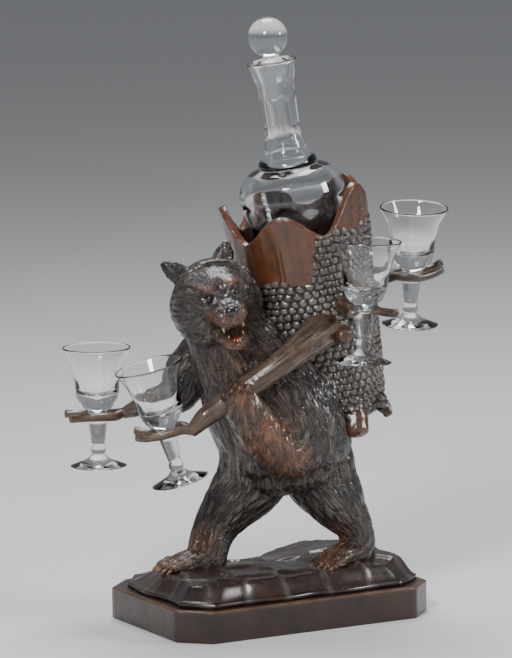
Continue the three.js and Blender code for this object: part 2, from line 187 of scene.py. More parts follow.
def capped(grid: np.ndarray) -> Shell:
    """Closes a grid of rings, whose first and last rings have shrunk to a point.

    Args:
        grid: Rows of rings of points.

    Returns:
        A closed shell with triangles round its poles.
    """
    rows, cols = grid.shape[:2]
    points = np.vstack([grid[:1, 0], grid[1:-1].reshape(-1, 3), grid[-1:, 0]])
    here = np.arange(cols)
    after = (here + 1) % cols
    none = np.full(cols, -1)
    first = np.stack([np.zeros(cols, int), 1 + after, 1 + here, none], axis=1)
    start = 1 + (rows - 3) * cols
    last = np.stack([np.full(cols, len(points) - 1), start + here, start + after, none], axis=1)
    ring = 1 + np.arange(rows - 3)[:, None] * cols
    sides = np.stack([ring + here, ring + after, ring + cols + after, ring + cols + here], axis=2)
    return Shell(points, np.vstack([first, sides.reshape(-1, 4), last])).outward()


def mesh_of(name: str, shell: Shell, marks: dict[str, np.ndarray] | None = None) -> bpy.types.Mesh:
    """Puts a shell in millimetres into a smooth-shaded mesh in metres.

    Args:
        name: Name of the mesh.
        shell: The surface.
        marks: Numbers or vectors for each point, kept as attributes of those names.

    Returns:
        The mesh.
    """
    mesh = bpy.data.meshes.new(name)
    corners = shell.faces[shell.faces >= 0]
    sizes = (shell.faces >= 0).sum(axis=1)
    mesh.vertices.add(len(shell.points))
    mesh.vertices.foreach_set("co", (shell.points * MM).ravel())
    mesh.loops.add(len(corners))
    mesh.loops.foreach_set("vertex_index", corners)
    mesh.polygons.add(len(sizes))
    mesh.polygons.foreach_set("loop_start", np.cumsum(sizes) - sizes)
    for mark, values in (marks or {}).items():
        kind, field_name = ("FLOAT", "value") if values.ndim == 1 else ("FLOAT_VECTOR", "vector")
        layer = mesh.attributes.new(mark, kind, "POINT")
        layer.data.foreach_set(field_name, values.astype(np.float32).ravel())
    mesh.update(calc_edges=True)
    mesh.shade_smooth()
    return mesh


def object_of(name: str, mesh: bpy.types.Mesh) -> bpy.types.Object:
    """A linked object at the origin that shows the mesh."""
    thing = bpy.data.objects.new(name, mesh)
    bpy.context.scene.collection.objects.link(thing)
    return thing


def shell_from(thing: bpy.types.Object) -> Shell:
    """Reads the object's mesh, with its modifiers applied, back into a shell in millimetres."""
    shaped = thing.evaluated_get(bpy.context.evaluated_depsgraph_get())
    mesh = shaped.to_mesh()
    points = np.empty(len(mesh.vertices) * 3)
    mesh.vertices.foreach_get("co", points)
    corners = np.empty(len(mesh.loops), dtype=np.int64)
    mesh.loops.foreach_get("vertex_index", corners)
    sizes = np.empty(len(mesh.polygons), dtype=np.int64)
    mesh.polygons.foreach_get("loop_total", sizes)
    faces = np.full((len(sizes), 4), -1, dtype=np.int64)
    faces[np.arange(4) < sizes[:, None]] = corners
    shaped.to_mesh_clear()
    return Shell(points.reshape(-1, 3) / MM, faces)


def welded(shell: Shell, voxel: float, rounds: int = 2) -> Shell:
    """One closed skin round overlapping shells: a voxel remesh and a light smoothing.

    Args:
        shell: Closed shells that overlap.
        voxel: Size of a voxel in millimetres.
        rounds: Rounds of smoothing.

    Returns:
        The skin.
    """
    thing = object_of("weld", mesh_of("weld", shell))
    remesh = thing.modifiers.new("weld", "REMESH")
    remesh.mode = "VOXEL"
    remesh.voxel_size = voxel * MM
    soften = thing.modifiers.new("soften", "SMOOTH")
    soften.iterations = rounds
    skin = shell_from(thing)
    bpy.data.meshes.remove(thing.data)
    return skin


def thinned(mesh: bpy.types.Mesh, most_triangles: int) -> bpy.types.Mesh:
    """Collapses the flattest edges until the mesh has at most that many triangles."""
    sizes = np.empty(len(mesh.polygons), dtype=np.int64)
    mesh.polygons.foreach_get("loop_total", sizes)
    triangles = int((sizes - 2).sum())
    if triangles <= most_triangles:
        return mesh
    thing = object_of("thin", mesh)
    collapse = thing.modifiers.new("collapse", "DECIMATE")
    collapse.ratio = most_triangles / triangles
    shaped = thing.evaluated_get(bpy.context.evaluated_depsgraph_get())
    thin = bpy.data.meshes.new_from_object(shaped)
    thin.name = mesh.name
    bpy.data.objects.remove(thing)
    return thin


@dataclass(frozen=True)
class Loft:
    """A rounded limb: oval sections carried along a smooth path and closed by domes."""

    stations: tuple[tuple[float, ...], ...]
    across: tuple[float, float, float]
    dome: float = 0.85
    flow: int = 1
    swirl: float = 0.0

    def frame(self, t: np.ndarray) -> tuple[np.ndarray, ...]:
        """Centre, tangent, side, depth and half sizes on the path.

        Args:
            t: Where on the path, from 0 to 1.

        Returns:
            Five arrays with one row for each t.
        """
        rows = np.array(self.stations, dtype=float)
        step = 1e-3
        centre = curve(rows[:, :3], t)
        tangent = unit(curve(rows[:, :3], t + step) - curve(rows[:, :3], t - step))
        side = np.array(self.across) - (tangent @ np.array(self.across))[:, None] * tangent
        side = unit(side)
        return centre, tangent, side, np.cross(tangent, side), curve(rows[:, 3:5], t)

    def shell(self, step: float = 1.6) -> Shell:
        """Rings of ovals; the end domes shrink by a cosine while they run out by a sine.

        Args:
            step: Spacing of the rings and of the points round them.

        Returns:
            A closed shell.
        """
        rows = np.array(self.stations, dtype=float)
        length = np.linalg.norm(np.diff(rows[:, :3], axis=0), axis=1).sum()
        along = max(4, int(length / step))
        caps = 6
        around = max(12, int(TURN * rows[:, 3:5].max() / step))
        row = np.arange(along + 2 * caps + 1)
        t = np.clip((row - caps) / along, 0, 1)
        near = np.clip(caps - np.minimum(row, row[-1] - row), 0, caps) / caps * math.pi / 2
        centre, tangent, side, depth, half = self.frame(t)
        out = np.where(row < len(row) / 2, -1, 1) * np.sin(near) * self.dome * half.min(axis=1)
        spine = centre + tangent * out[:, None]
        angle = np.arange(around) / around * TURN
        cos = (np.cos(angle) * np.cos(near)[:, None] * half[:, :1])[..., None] * side[:, None]
        sin = (np.sin(angle) * np.cos(near)[:, None] * half[:, 1:])[..., None] * depth[:, None]
        return capped(spine[:, None] + cos + sin)

    def nearest(self, points: np.ndarray) -> dict[str, np.ndarray]:
        """Finds each point's place beside the path.

        Args:
            points: Places near the limb.

        Returns:
            t on the path, gap to the limb's surface, angle round it, tangent, and the sideways
            direction round the limb.
        """
        t = np.linspace(0, 1, 48)
        centre, tangent, side, depth, half = self.frame(t)
        squares = (centre**2).sum(axis=1) - 2 * points @ centre.T
        at = squares.argmin(axis=1)
        offset = points - centre[at]
        run = np.einsum("ij,ij->i", offset, tangent[at])
        u = np.einsum("ij,ij->i", offset, side[at])
        v = np.einsum("ij,ij->i", offset, depth[at])
        beyond = np.where((at == 0) | (at == len(t) - 1), np.abs(run), 0)
        radius = np.sqrt((u / half[at, 0]) ** 2 + (v / half[at, 1]) ** 2)
        gap = np.hypot((radius - 1) * half[at].min(axis=1), np.maximum(0, beyond - 4))
        angle = np.arctan2(v / half[at, 1], u / half[at, 0])
        return {"t": t[at], "gap": gap, "angle": angle, "tangent": tangent[at], "u": u, "v": v}


@dataclass(frozen=True)
class Fur:
    """Long combed strands, cut with a gouge that leaves a sharp groove between them."""

    pitch: float = 2.3
    reach: float = 9.0
    depth: float = 1.0
    lock_height: float = 1.4
    seed: int = 11

    def strands(self, points: np.ndarray, flow: np.ndarray, bend: np.ndarray) -> np.ndarray:
        """Noise averaged along the hair, so that it stays alike along a strand and changes across.

        The sampling line leaves each point along the hair and curves with it: the point, plus
        the direction times the distance, plus half the bend times its square.

        Args:
            points: Places on the skin.
            flow: Direction of the hair.
            bend: How the direction turns for each millimetre along the hair.

        Returns:
            One value for each point, with a spread of about one.
        """
        total = np.zeros(len(points))
        for run in np.arange(-self.reach, self.reach + 0.5, 1.3):
            weight = math.cos(run / self.reach * math.pi / 2.4)
            total += weight * noise(points + flow * run + bend * (0.5 * run * run), self.pitch, self.seed)
        return total / total.std()

    def relief(
        self, points: np.ndarray, flow: np.ndarray, bend: np.ndarray, depth: np.ndarray
    ) -> tuple[np.ndarray, np.ndarray]:
        """Height of the carving: grooves where the strand noise crosses zero, and broad locks.

        Args:
            points: Places on the skin.
            flow: Direction of the hair.
            bend: How the direction turns.
            depth: How deep the grooves are, from 0 to 1.

        Returns:
            Height in millimetres, and how far each point stands up as a ridge, from 0 to 1.
        """
        value = self.strands(points, flow, bend)
        ridge = np.clip(np.abs(value) / 1.1, 0, 1) ** 0.7
        broad = Fur(self.pitch * 3.2, self.reach * 1.3, seed=self.seed + 5).strands(points, flow, bend)
        lock = np.clip(np.abs(broad) / 1.1, 0, 1) ** 0.8
        height = depth * (self.depth * (ridge - 0.75) + self.lock_height * 0.6 * (lock - 0.7))
        return height, ridge * (0.35 + 0.65 * lock)


class Nodes:
    """Builds one shader graph."""

    def __init__(self, name: str) -> None:
        """Starts an empty material of that name."""
        self.material = bpy.data.materials.new(name)
        self.material.use_nodes = True
        self.tree = self.material.node_tree
        self.tree.nodes.clear()
        output = self.tree.nodes.new("ShaderNodeOutputMaterial")
        self.surface = self.tree.nodes.new("ShaderNodeBsdfPrincipled")
        self.tree.links.new(self.surface.outputs[0], output.inputs[0])

    def add(self, kind: str, inputs: dict | None = None, **settings) -> bpy.types.Node:
        """Adds a node; inputs are linked where they are sockets and set where they are values.

        Args:
            kind: Blender's name of the node type.
            inputs: Socket name or number to a value or an output socket.
            **settings: Properties of the node itself.

        Returns:
            The node.
        """
        node = self.tree.nodes.new(kind)
        for setting, value in settings.items():
            setattr(node, setting, value)
        self.feed(node, inputs or {})
        return node

    def feed(self, node: bpy.types.Node, inputs: dict) -> None:
        """Links or sets each input of a node."""
        for key, value in inputs.items():
            if isinstance(value, bpy.types.NodeSocket):
                self.tree.links.new(value, node.inputs[key])
            else:
                node.inputs[key].default_value = value

    def place(self, stretch: tuple[float, float, float] = (1, 1, 1)) -> bpy.types.NodeSocket:
        """Object coordinates, stretched."""
        where = self.add("ShaderNodeTexCoord").outputs["Object"]
        return self.add("ShaderNodeMapping", {"Vector": where, "Scale": stretch}).outputs[0]

    def noise(
        self, where: bpy.types.NodeSocket, scale: float, detail: float = 4, rough: float = 0.55
    ) -> bpy.types.NodeSocket:
        """Fractal noise from 0 to 1."""
        inputs = {"Vector": where, "Scale": scale, "Detail": detail, "Roughness": rough}
        return self.add("ShaderNodeTexNoise", inputs).outputs[0]

    def span(
        self, value: bpy.types.NodeSocket, low: float, high: float, to_low: float = 0, to_high: float = 1
    ) -> bpy.types.NodeSocket:
        """Maps low to high onto another range, clamped."""
        inputs = {0: value, 1: low, 2: high, 3: to_low, 4: to_high}
        return self.add("ShaderNodeMapRange", inputs).outputs[0]

    def mark(self, name: str) -> bpy.types.NodeSocket:
        """A mesh attribute's number."""
        return self.add("ShaderNodeAttribute", attribute_name=name).outputs["Fac"]

    def hair(self, pitch: float, reach: float) -> bpy.types.NodeSocket:
        """Fine hairs: noise averaged along the hair direction that the mesh keeps at each point.

        The samples lie on the same curved line as the carved strands do: the place, plus the
        direction times the distance, plus half the bend times its square.

        Args:
            pitch: Width of a hair in millimetres.
            reach: Half the length of a hair in millimetres.

        Returns:
            0 in a groove between hairs, 1 on top of one.
        """
        where = self.place()
        flow = self.add("ShaderNodeAttribute", attribute_name="flow").outputs["Vector"]
        bend = self.add("ShaderNodeAttribute", attribute_name="bend").outputs["Vector"]
        samples = 9
        total = None
        for run in np.linspace(-reach, reach, samples):
            along = {0: flow, 1: (run * MM,) * 3, 2: where}
            straight = self.add("ShaderNodeVectorMath", along, operation="MULTIPLY_ADD").outputs[0]
            aside = {0: bend, 1: (0.5 * run * run * MM,) * 3, 2: straight}
            curved = self.add("ShaderNodeVectorMath", aside, operation="MULTIPLY_ADD").outputs[0]
            sample = self.noise(curved, 1 / (pitch * MM), 0)
            total = sample if total is None else self.math("ADD", total, sample)
        away = self.math("ABSOLUTE", self.math("SUBTRACT", total, samples / 2))
        return self.span(away, 0.0, 0.55)

    def blend(
        self, factor: Input, a: Input, b: Input, mode: str = "MIX"
    ) -> bpy.types.NodeSocket:
        """Mixes two colours."""
        node = self.add("ShaderNodeMix", data_type="RGBA", blend_type=mode)
        self.feed(node, {0: factor, 6: a, 7: b})
        return node.outputs[2]

    def math(self, operation: str, a: Input, b: Input = 0.0) -> bpy.types.NodeSocket:
        """One sum, product or comparison."""
        return self.add("ShaderNodeMath", {0: a, 1: b}, operation=operation).outputs[0]


@dataclass(frozen=True)
class WoodFinish:
    """Stained and waxed carving wood: painted shade darkens its grooves, and its ridges turn pale, partly
    scuffed wood and partly a painted highlight.
    """

    name: str
    deep: tuple[float, float, float, float]
    body: tuple[float, float, float, float]
    # Pale ridge colour: partly scuffed wood, partly a painted highlight for the silvery sheen on the ridges.
    worn_and_sheen: tuple[float, float, float, float]
    warm: tuple[float, float, float, float]
    roughness: float = 0.42
    coat: float = 0.25
    grain: tuple[float, float, float] = (1, 1, 0.15)
    grain_scale: float = 900
    grain_depth: float = 0.00012
    hairy: bool = False

    def material(self) -> bpy.types.Material:
        """Colour from broad noise, the pale scuffed ridges with a painted highlight on them, painted shade in
        the grooves, and the warm places; grain as a fine bump.
        """
        nodes = Nodes(self.name)
        where = nodes.place()
        along = nodes.place(self.grain)
        mottled = nodes.span(nodes.noise(where, 38, 5, 0.6), 0.38, 0.66)
        stain = nodes.blend(mottled, self.deep, self.body)
        patchy = nodes.span(nodes.noise(where, 75, 3), 0.3, 0.7, 0.35, 1.0)
        warmth = nodes.math("MULTIPLY", nodes.mark("warm"), patchy)
        warmed = nodes.blend(warmth, stain, self.warm)
        # The ridge mark blends in the pale ridge colour: partly scuffed wood, partly a painted highlight on the
        # ridge tops.
        wear_and_painted_light = nodes.span(nodes.mark("wear_and_painted_light"), 0.45, 1.0)
        rubbed_and_sheen = nodes.math("MULTIPLY", wear_and_painted_light, nodes.span(nodes.noise(where, 55, 4), 0.32, 0.72, 0.15, 0.75))
        colour = nodes.blend(rubbed_and_sheen, warmed, nodes.blend(nodes.mark("warm"), self.worn_and_sheen, self.warm))
        # Painted shade: the colour is multiplied down to 0.3 where the ridge mark is low, in the grooves.
        hollow = nodes.span(nodes.mark("wear_and_painted_light"), 0.0, 0.5, 0.3, 1.0)
        shaded = nodes.blend(1.0, colour, hollow, "MULTIPLY")
        fine = nodes.noise(along, self.grain_scale, 4, 0.6)
        rough = nodes.span(nodes.noise(where, 120, 3), 0.3, 0.75, self.roughness - 0.08, self.roughness + 0.12)
        relief = nodes.add("ShaderNodeBump", {"Height": fine, "Distance": self.grain_depth, "Strength": 0.8})
        if self.hairy:
            short = nodes.mark("short_hair")
            hair = nodes.blend(short, nodes.hair(1.7, 7.0), nodes.hair(1.0, 3.0))
            # Painted shade and painted highlight: the colour is multiplied by 0.12 in the grooves between fine
            # hairs, rising to 1.15 on their tops.
            shaded = nodes.blend(1.0, shaded, nodes.span(hair, 0.0, 0.5, 0.12, 1.15), "MULTIPLY")
            lines = {"Height": hair, "Distance": 0.0006, "Strength": 1.0, "Normal": relief.outputs[0]}
            relief = nodes.add("ShaderNodeBump", lines)
        nodes.feed(nodes.surface, {
            "Base Color": shaded, "Roughness": rough, "Normal": relief.outputs[0],
            "Coat Weight": self.coat, "Coat Roughness": 0.18,
        })
        return nodes.material


@dataclass(frozen=True)
class PlainFinish:
    """A finish that is the same all over: glass, polished eyes, teeth."""

    name: str
    colour: tuple[float, float, float, float]
    roughness: float
    transmission: float = 0.0
    ior: float = 1.5
    coat: float = 0.0

    def material(self) -> bpy.types.Material:
        """Plain values on the shader's own sockets."""
        nodes = Nodes(self.name)
        nodes.feed(nodes.surface, {
            "Base Color": self.colour, "Roughness": self.roughness, "IOR": self.ior,
            "Transmission Weight": self.transmission, "Coat Weight": self.coat,
        })
        return nodes.material


class Finish(Enum):
    """The finishes of this stand."""

    PLINTH = WoodFinish(
        "plinth_walnut", (0.008, 0.004, 0.003, 1), (0.024, 0.01, 0.007, 1), (0.2, 0.11, 0.06, 1),
        (0.07, 0.024, 0.012, 1), 0.36, 0.35, (0.06, 1, 1), 700,
    )
    GROUND = WoodFinish(
        "ground_wood", (0.008, 0.005, 0.005, 1), (0.028, 0.016, 0.013, 1), (0.13, 0.12, 0.1, 1),
        (0.06, 0.022, 0.013, 1), 0.3, 0.5,
    )
    FUR = WoodFinish(
        "carved_fur", (0.008, 0.005, 0.0045, 1), (0.03, 0.019, 0.015, 1), (0.17, 0.14, 0.115, 1),
        (0.24, 0.085, 0.026, 1), 0.3, 0.5, hairy=True,
    )
    BARK = WoodFinish(
        "carved_bark", (0.008, 0.005, 0.0045, 1), (0.032, 0.021, 0.016, 1), (0.2, 0.17, 0.14, 1),
        (0.11, 0.035, 0.012, 1), 0.3, 0.45,
    )
    TWIG = WoodFinish(
        "carved_twig", (0.01, 0.007, 0.006, 1), (0.04, 0.029, 0.023, 1), (0.24, 0.21, 0.18, 1),
        (0.24, 0.12, 0.05, 1), 0.32, 0.4,
    )
    CLEAR_GLASS = PlainFinish("clear_glass", (0.985, 0.995, 1.0, 1), 0.0, 1.0, 1.5)
    EYE = PlainFinish("eye_glass", (0.006, 0.004, 0.003, 1), 0.06, 0.0, 1.5, 1.0)
    NOSE = PlainFinish("nose_lacquer", (0.008, 0.007, 0.008, 1), 0.22, 0.0, 1.5, 0.6)
    TOOTH = PlainFinish("painted_tooth", (0.62, 0.42, 0.17, 1), 0.35, 0.0, 1.5, 0.3)
    TONGUE = PlainFinish("painted_tongue", (0.36, 0.05, 0.028, 1), 0.35, 0.0, 1.5, 0.4)
    CLAW = PlainFinish("bare_claw", (0.16, 0.085, 0.045, 1), 0.35, 0.0, 1.5, 0.3)


class Workshop:
    """Makes finished pieces: one material for each finish, and the calls that tie a piece down."""

    def __init__(self) -> None:
        """Starts with no materials made."""
        self.materials: dict[Finish, bpy.types.Material] = {}

    def material(self, finish: Finish) -> bpy.types.Material:
        """The finish's material, made once."""
        if finish not in self.materials:
            self.materials[finish] = finish.value.material()
        return self.materials[finish]

    def piece(
        self, name: str, mesh: bpy.types.Mesh, finishes: list[Finish], slot: str, nodes: tuple[str, ...]
    ) -> bpy.types.Object:
        """Finishes a mesh as a piece that rides on the stand and stands for its solids.

        Args:
            name: Name of the piece.
            mesh: Its mesh, in metres and in place.
            finishes: One finish for each material index.
            slot: The record's material slot; not used.
            nodes: The solids that it replaces.

        Returns:
            The piece.
        """
        thing = object_of(name, mesh)
        mesh.materials.clear()
        for finish in finishes:
            mesh.materials.append(self.material(finish))
        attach(thing, ROOT)
        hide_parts(*nodes)
        LOG.info("%s: %d faces", name, len(mesh.polygons))
        return thing


@dataclass(frozen=True)
class Head:
    """The frame of the head: places are given as side, up and forward."""

    centre: tuple[float, float, float] = (-51, -11, 273)
    ahead: tuple[float, float, float] = (-0.22, -0.965, -0.13)
    tilt: tuple[float, float, float] = (0.93, -0.25, 0.27)

    def axes(self) -> np.ndarray:
        """Side, up and forward as rows."""
        forward = unit(np.array(self.ahead))
        tilt = np.array(self.tilt)
        side = unit(tilt - (tilt @ forward) * forward)
        return np.array([side, np.cross(forward, side), forward])

    def place(self, local: tuple[float, ...]) -> np.ndarray:
        """A place in the stand's frame."""
        return np.array(self.centre) + np.array(local[:3]) @ self.axes()

    def local(self, points: np.ndarray) -> np.ndarray:
        """Side, up and forward of points in the stand's frame."""
        return (points - np.array(self.centre)) @ self.axes().T

    def station(self, local: tuple[float, ...]) -> tuple[float, ...]:
        """A station whose first three numbers were side, up and forward."""
        return (*self.place(local), *local[3:])


HEAD = Head()
HEAD_SIDE = tuple(HEAD.axes()[0])
SHOULDER_AXIS = (0.73, -0.68, 0.0)
PICTURE_PLANE = (0.883, -0.469, 0.0)
EYES = {"eye_left": (10.2, 12.3, 31.8), "eye_right": (-11.0, 12.6, 31.8)}
EYE_RADIUS = 3.1

BODY = {
    "torso": Loft((
        (16, -8, 124, 46, 41), (14, -8, 136, 55, 46), (9, -9, 157, 56, 47), (-4, -7, 183, 54, 45),
        (-17, -1, 210, 46, 42), (-30, 1, 236, 38, 37), (-42, -3, 258, 33, 33),
    ), SHOULDER_AXIS, 0.5, -1),
    "left_shoulder": Loft((
        (12, -10, 206, 26, 26), (20, -22, 186, 33, 31), (18, -34, 164, 27, 26),
    ), SHOULDER_AXIS),
    "left_upper_arm": Loft((
        (18, -30, 180, 28, 26), (16, -38, 158, 25, 23), (4, -42, 140, 19, 18),
    ), SHOULDER_AXIS),
    "left_forearm": Loft((
        (4, -42, 138, 17, 17), (-12, -45, 145, 19, 18), (-28, -47, 162, 20, 18), (-44, -47, 184, 17, 16),
        (-52, -46, 197, 16, 14),
    ), SHOULDER_AXIS, swirl=-40),
    "right_arm": Loft((
        (-36, 20, 228, 24, 24), (-54, 32, 208, 20, 20), (-62, 36, 190, 17, 17), (-71, 40, 183, 14, 14),
        (-80, 45, 180, 13, 12),
    ), (0.47, 0.88, 0)),
    "front_leg": Loft((
        (-4, 2, 134, 34, 32), (-12, 10, 112, 30, 29), (-29, 16, 91, 23, 25), (-41, 17, 75, 18.5, 20),
        (-48, 16, 60, 17, 18), (-50, 16, 50, 17, 18),
    ), PICTURE_PLANE),
    "front_foot": Loft((
        (-43, 14, 50, 13, 10), (-56, 15, 50, 16, 11), (-72, 16.5, 48, 17, 9), (-80, 17.5, 46, 16, 7),
    ), (0, 1, 0), 0.6),
    "rear_leg": Loft((
        (36, -8, 138, 34, 33), (43, -16, 114, 31, 31), (55, -24, 91, 23, 25), (66, -29, 72, 15.5, 18),
        (68, -30, 58, 15, 17), (67, -30, 50, 15, 17),
    ), PICTURE_PLANE),
    "rear_foot": Loft((
        (74, -28, 52, 13, 9), (60, -34, 52, 15, 11), (44, -39, 51, 16, 9), (35, -42, 50, 15, 7),
    ), (0.28, 0.96, 0), 0.6),
    "skull": Loft(tuple(HEAD.station(s) for s in (
        (0, 0, -24, 24, 24), (0, 0, -12, 34, 33), (-1, -3, 1, 39, 38), (-1, -1, 12, 36, 34), (0, 1, 22, 27, 26),
        (0, 0.5, 30, 18.5, 18), (0, -1, 37, 15, 13.5), (0, -1.5, 46, 14, 11), (0, -0.5, 52, 12, 8.5),
    )), HEAD_SIDE, 0.4, -1),
    "lower_jaw": Loft(tuple(HEAD.station(s) for s in (
        (0, -20, 6, 21, 16), (1, -26, 22, 15, 9), (2, -29.5, 34, 11, 5.5), (2.5, -31, 41, 8, 4),
    )), HEAD_SIDE, 0.7, -1),
}


@dataclass(frozen=True)
class Paw:
    """Toes or fingers side by side across the front of a paw, each with a claw."""

    knuckle: tuple[float, float, float]
    forward: tuple[float, float, float]
    spread: tuple[float, float, float]
    count: int
    pitch: float
    length: float
    radius: float
    drop: float

    def digits(self) -> list[tuple[np.ndarray, np.ndarray]]:
        """Root and tip of each digit; the outer ones lag behind."""
        ahead = unit(np.array(self.forward))
        sideways = unit(np.array(self.spread))
        offsets = (np.arange(self.count) - (self.count - 1) / 2) * self.pitch
        lags = np.abs(offsets) / self.pitch * 1.6
        roots = np.array(self.knuckle) + offsets[:, None] * sideways - lags[:, None] * ahead
        tips = roots + ahead * self.length + np.array([0, 0, -self.drop])
        return list(zip(roots, tips))

    def toes(self) -> list[Shell]:
        """A short rounded limb for each digit."""
        width = self.radius
        return [
            Loft(((*root, width, width), (*tip, width * 0.85, width * 0.8)), self.spread, 0.9).shell(0.9)
            for root, tip in self.digits()
        ]

    def claws(self) -> list[Shell]:
        """A curved point that leaves the end of each digit and bends down."""
        made = []
        for root, tip in self.digits():
            ahead = unit(tip - root)
            start = tip + ahead * self.radius * 0.35
            middle = start + ahead * 3.2 + np.array([0, 0, -0.6])
            end = start + ahead * 5.4 + np.array([0, 0, -2.6])
            stations = ((*start, 1.5, 1.7), (*middle, 1.15, 1.3), (*end, 0.45, 0.5))
            made.append(Loft(stations, self.spread, 0.8).shell(0.6))
        return made


PAWS = (
    Paw((-82, 17.5, 49), (-1, 0.08, 0), (0, 1, 0), 5, 6.4, 8, 4.2, 2.5),
    Paw((33, -43, 49), (-0.96, -0.28, 0), (-0.28, 0.96, 0), 5, 6, 8, 4, 2.5),
    Paw((-56, -55, 202), (-0.35, -0.5, 0.75), (0.78, -0.45, 0.3), 4, 7, 7, 4, 3),
    Paw((-80, 38, 189), (-0.6, -0.7, 0.3), (0.7, -0.65, 0), 4, 6, 7, 3.8, 6),
)


@dataclass
class BearFigure:
    """The bear: rounded masses welded to one skin, with carved fur, a face, teeth and claws."""

    workshop: Workshop
    voxel: float = 0.8
    most_triangles: int = 196000
    fur: Fur = field(default_factory=Fur)
    face_fur: Fur = field(default_factory=lambda: Fur(1.6, 4.0, 0.45, 0.3, 23))

    def ears(self) -> list[Shell]:
        """Two ears: a flat oval limb from root to tip."""
        made = []
        for root, tip in (((15.5, 25, -12), (24, 38, -14)), ((-19, 22, -10), (-33, 39, -12))):
            root, tip = np.array(root), np.array(tip)
            stations = tuple(
                HEAD.station((*mix(root, tip, t), a, b)) for t, a, b in ((0, 9.5, 6), (0.55, 8, 4.5), (1, 3, 2))
            )
            made.append(Loft(stations, HEAD_SIDE, 0.8).shell(1.0))
        return made

    def skin(self) -> Shell:
        """Every mass welded to one closed skin."""
        masses = [loft.shell() for loft in BODY.values()]
        toes = [toe for paw in PAWS for toe in paw.toes()]
        return welded(joined(masses + toes + self.ears()), self.voxel, 3)

    def flow(self, points: np.ndarray, normals: np.ndarray) -> np.ndarray:
        """Direction of the hair: down each limb, blended where limbs meet, waved by slow noise.

        Args:
            points: Places on the skin.
            normals: Outward directions there.

        Returns:
            A unit direction in the skin's plane for each point.
        """
        total = np.zeros_like(points)
        for loft in BODY.values():
            near = loft.nearest(points)
            weight = bump(near["gap"], 4.0)[:, None] + 1e-6 / (1 + near["gap"][:, None] ** 2)
            along = near["tangent"] * loft.flow
            swirl = math.radians(loft.swirl)
            total += weight * (along * math.cos(swirl) + np.cross(normals, along) * math.sin(swirl))
        combed = unit(points - HEAD.place((0, 6, 44)))
        in_head = self.head_share(points)[:, None]
        return self.waved(points, normals, mix(unit(total), combed, in_head))

    def head_share(self, points: np.ndarray) -> np.ndarray:
        """1 on the face and 0 from the neck down, with a soft edge at the ruff."""
        return np.exp(-((np.linalg.norm(HEAD.local(points) / np.array([38, 40, 46]), axis=1)) ** 6))

    def waved(self, points: np.ndarray, normals: np.ndarray, flow: np.ndarray) -> np.ndarray:
        """Lays the hair in the skin's plane and turns it a little to and fro by slow noise."""
        flat = unit(flow - np.einsum("ij,ij->i", flow, normals)[:, None] * normals)
        turn = (0.3 * noise(points, 17.0, 3) + 0.1 * noise(points, 8.0, 4))[:, None]
        return unit(flat * np.cos(turn) + np.cross(normals, flat) * np.sin(turn))

    def bend(self, skin: Shell, flow: np.ndarray) -> np.ndarray:
        """How the hair turns along itself, from the change of direction over each edge.

        Args:
            skin: The skin.
            flow: Direction of the hair at its points.

        Returns:
            The change of direction for each millimetre, along the hair.
        """
        corners = skin.faces[:, :4]
        starts = corners.ravel()
        ends = np.roll(corners, -1, axis=1).ravel()
        step = skin.points[ends] - skin.points[starts]
        run = np.einsum("ij,ij->i", step, flow[starts])
        change = (flow[ends] - flow[starts]) * run[:, None]
        count = len(skin.points)
        weight = np.bincount(starts, run * run, count) + np.bincount(ends, run * run, count)
        turned = np.stack([
            np.bincount(starts, change[:, axis], count) + np.bincount(ends, change[:, axis], count)
            for axis in range(3)
        ], axis=1)
        bend = turned / np.maximum(weight, 0.05)[:, None]
        size = np.linalg.norm(bend, axis=1, keepdims=True)
        return bend * np.minimum(1, 0.06 / np.maximum(size, 1e-9))

    def face(self, points: np.ndarray) -> tuple[np.ndarray, np.ndarray, np.ndarray]:
        """Carving of the face: sockets with a lid round each eye, brows, and a dip between the eyes.

        Args:
            points: Places on the skin.

        Returns:
            Height in millimetres, how much of the body's fur is left, and warmth of the colour.
        """
        local = HEAD.local(points)
        height = np.zeros(len(points))
        for eye in EYES.values():
            away = np.linalg.norm(local - np.array(eye), axis=1)
            height += -1.6 * bump(away - 2.6, 2.2) + 0.9 * bump(away - 6.0, 1.4)
            brow = local - (np.array(eye) + np.array([0.6 * np.sign(eye[0]), 7.0, -1.0]))
            height += 2.2 * np.exp(-((brow[:, 0] / 6.5) ** 2 + (brow[:, 1] / 3.2) ** 2 + (brow[:, 2] / 9) ** 2))
        between_eyes = (local - np.array([0, 15, 32])) / np.array([3.2, 7, 12])
        height -= 1.8 * bump(np.linalg.norm(between_eyes, axis=1), 1.0)
        in_head = self.head_share(points)
        muzzle = smooth((local[:, 2] - 26) / 12) * (np.abs(local[:, 0]) < 24) * (local[:, 1] > -40)
        warm = 0.55 * muzzle * smooth((8 - local[:, 1]) / 10)
        for eye in EYES.values():
            brow = local - (np.array(eye) + np.array([0, 8.0, -2]))
            warm += 0.8 * bump(np.linalg.norm(brow / np.array([1.2, 0.7, 1.6]), axis=1), 5.0)
        return height, in_head, np.clip(warm, 0, 1)

    def warmth(self, points: np.ndarray) -> np.ndarray:
        """Where the stain is scuffed through to golden wood: forearm, throat, ankles and toes."""
        spots = (
            ((-30, -62, 160), 24, 0.9), ((-52, -60, 196), 16, 0.7), ((-8, -58, 138), 16, 0.9),
            ((-46, -45, 232), 22, 0.5), ((-62, 8, 70), 16, 0.5), ((-84, 17, 46), 16, 0.7),
            ((50, -30, 66), 16, 0.6), ((34, -44, 48), 16, 0.8), ((-60, -30, 212), 20, 0.35),
        )
        warm = np.zeros(len(points))
        for centre, radius, strength in spots:
            warm = np.maximum(warm, strength * bump(np.linalg.norm(points - np.array(centre), axis=1), radius))
        return warm

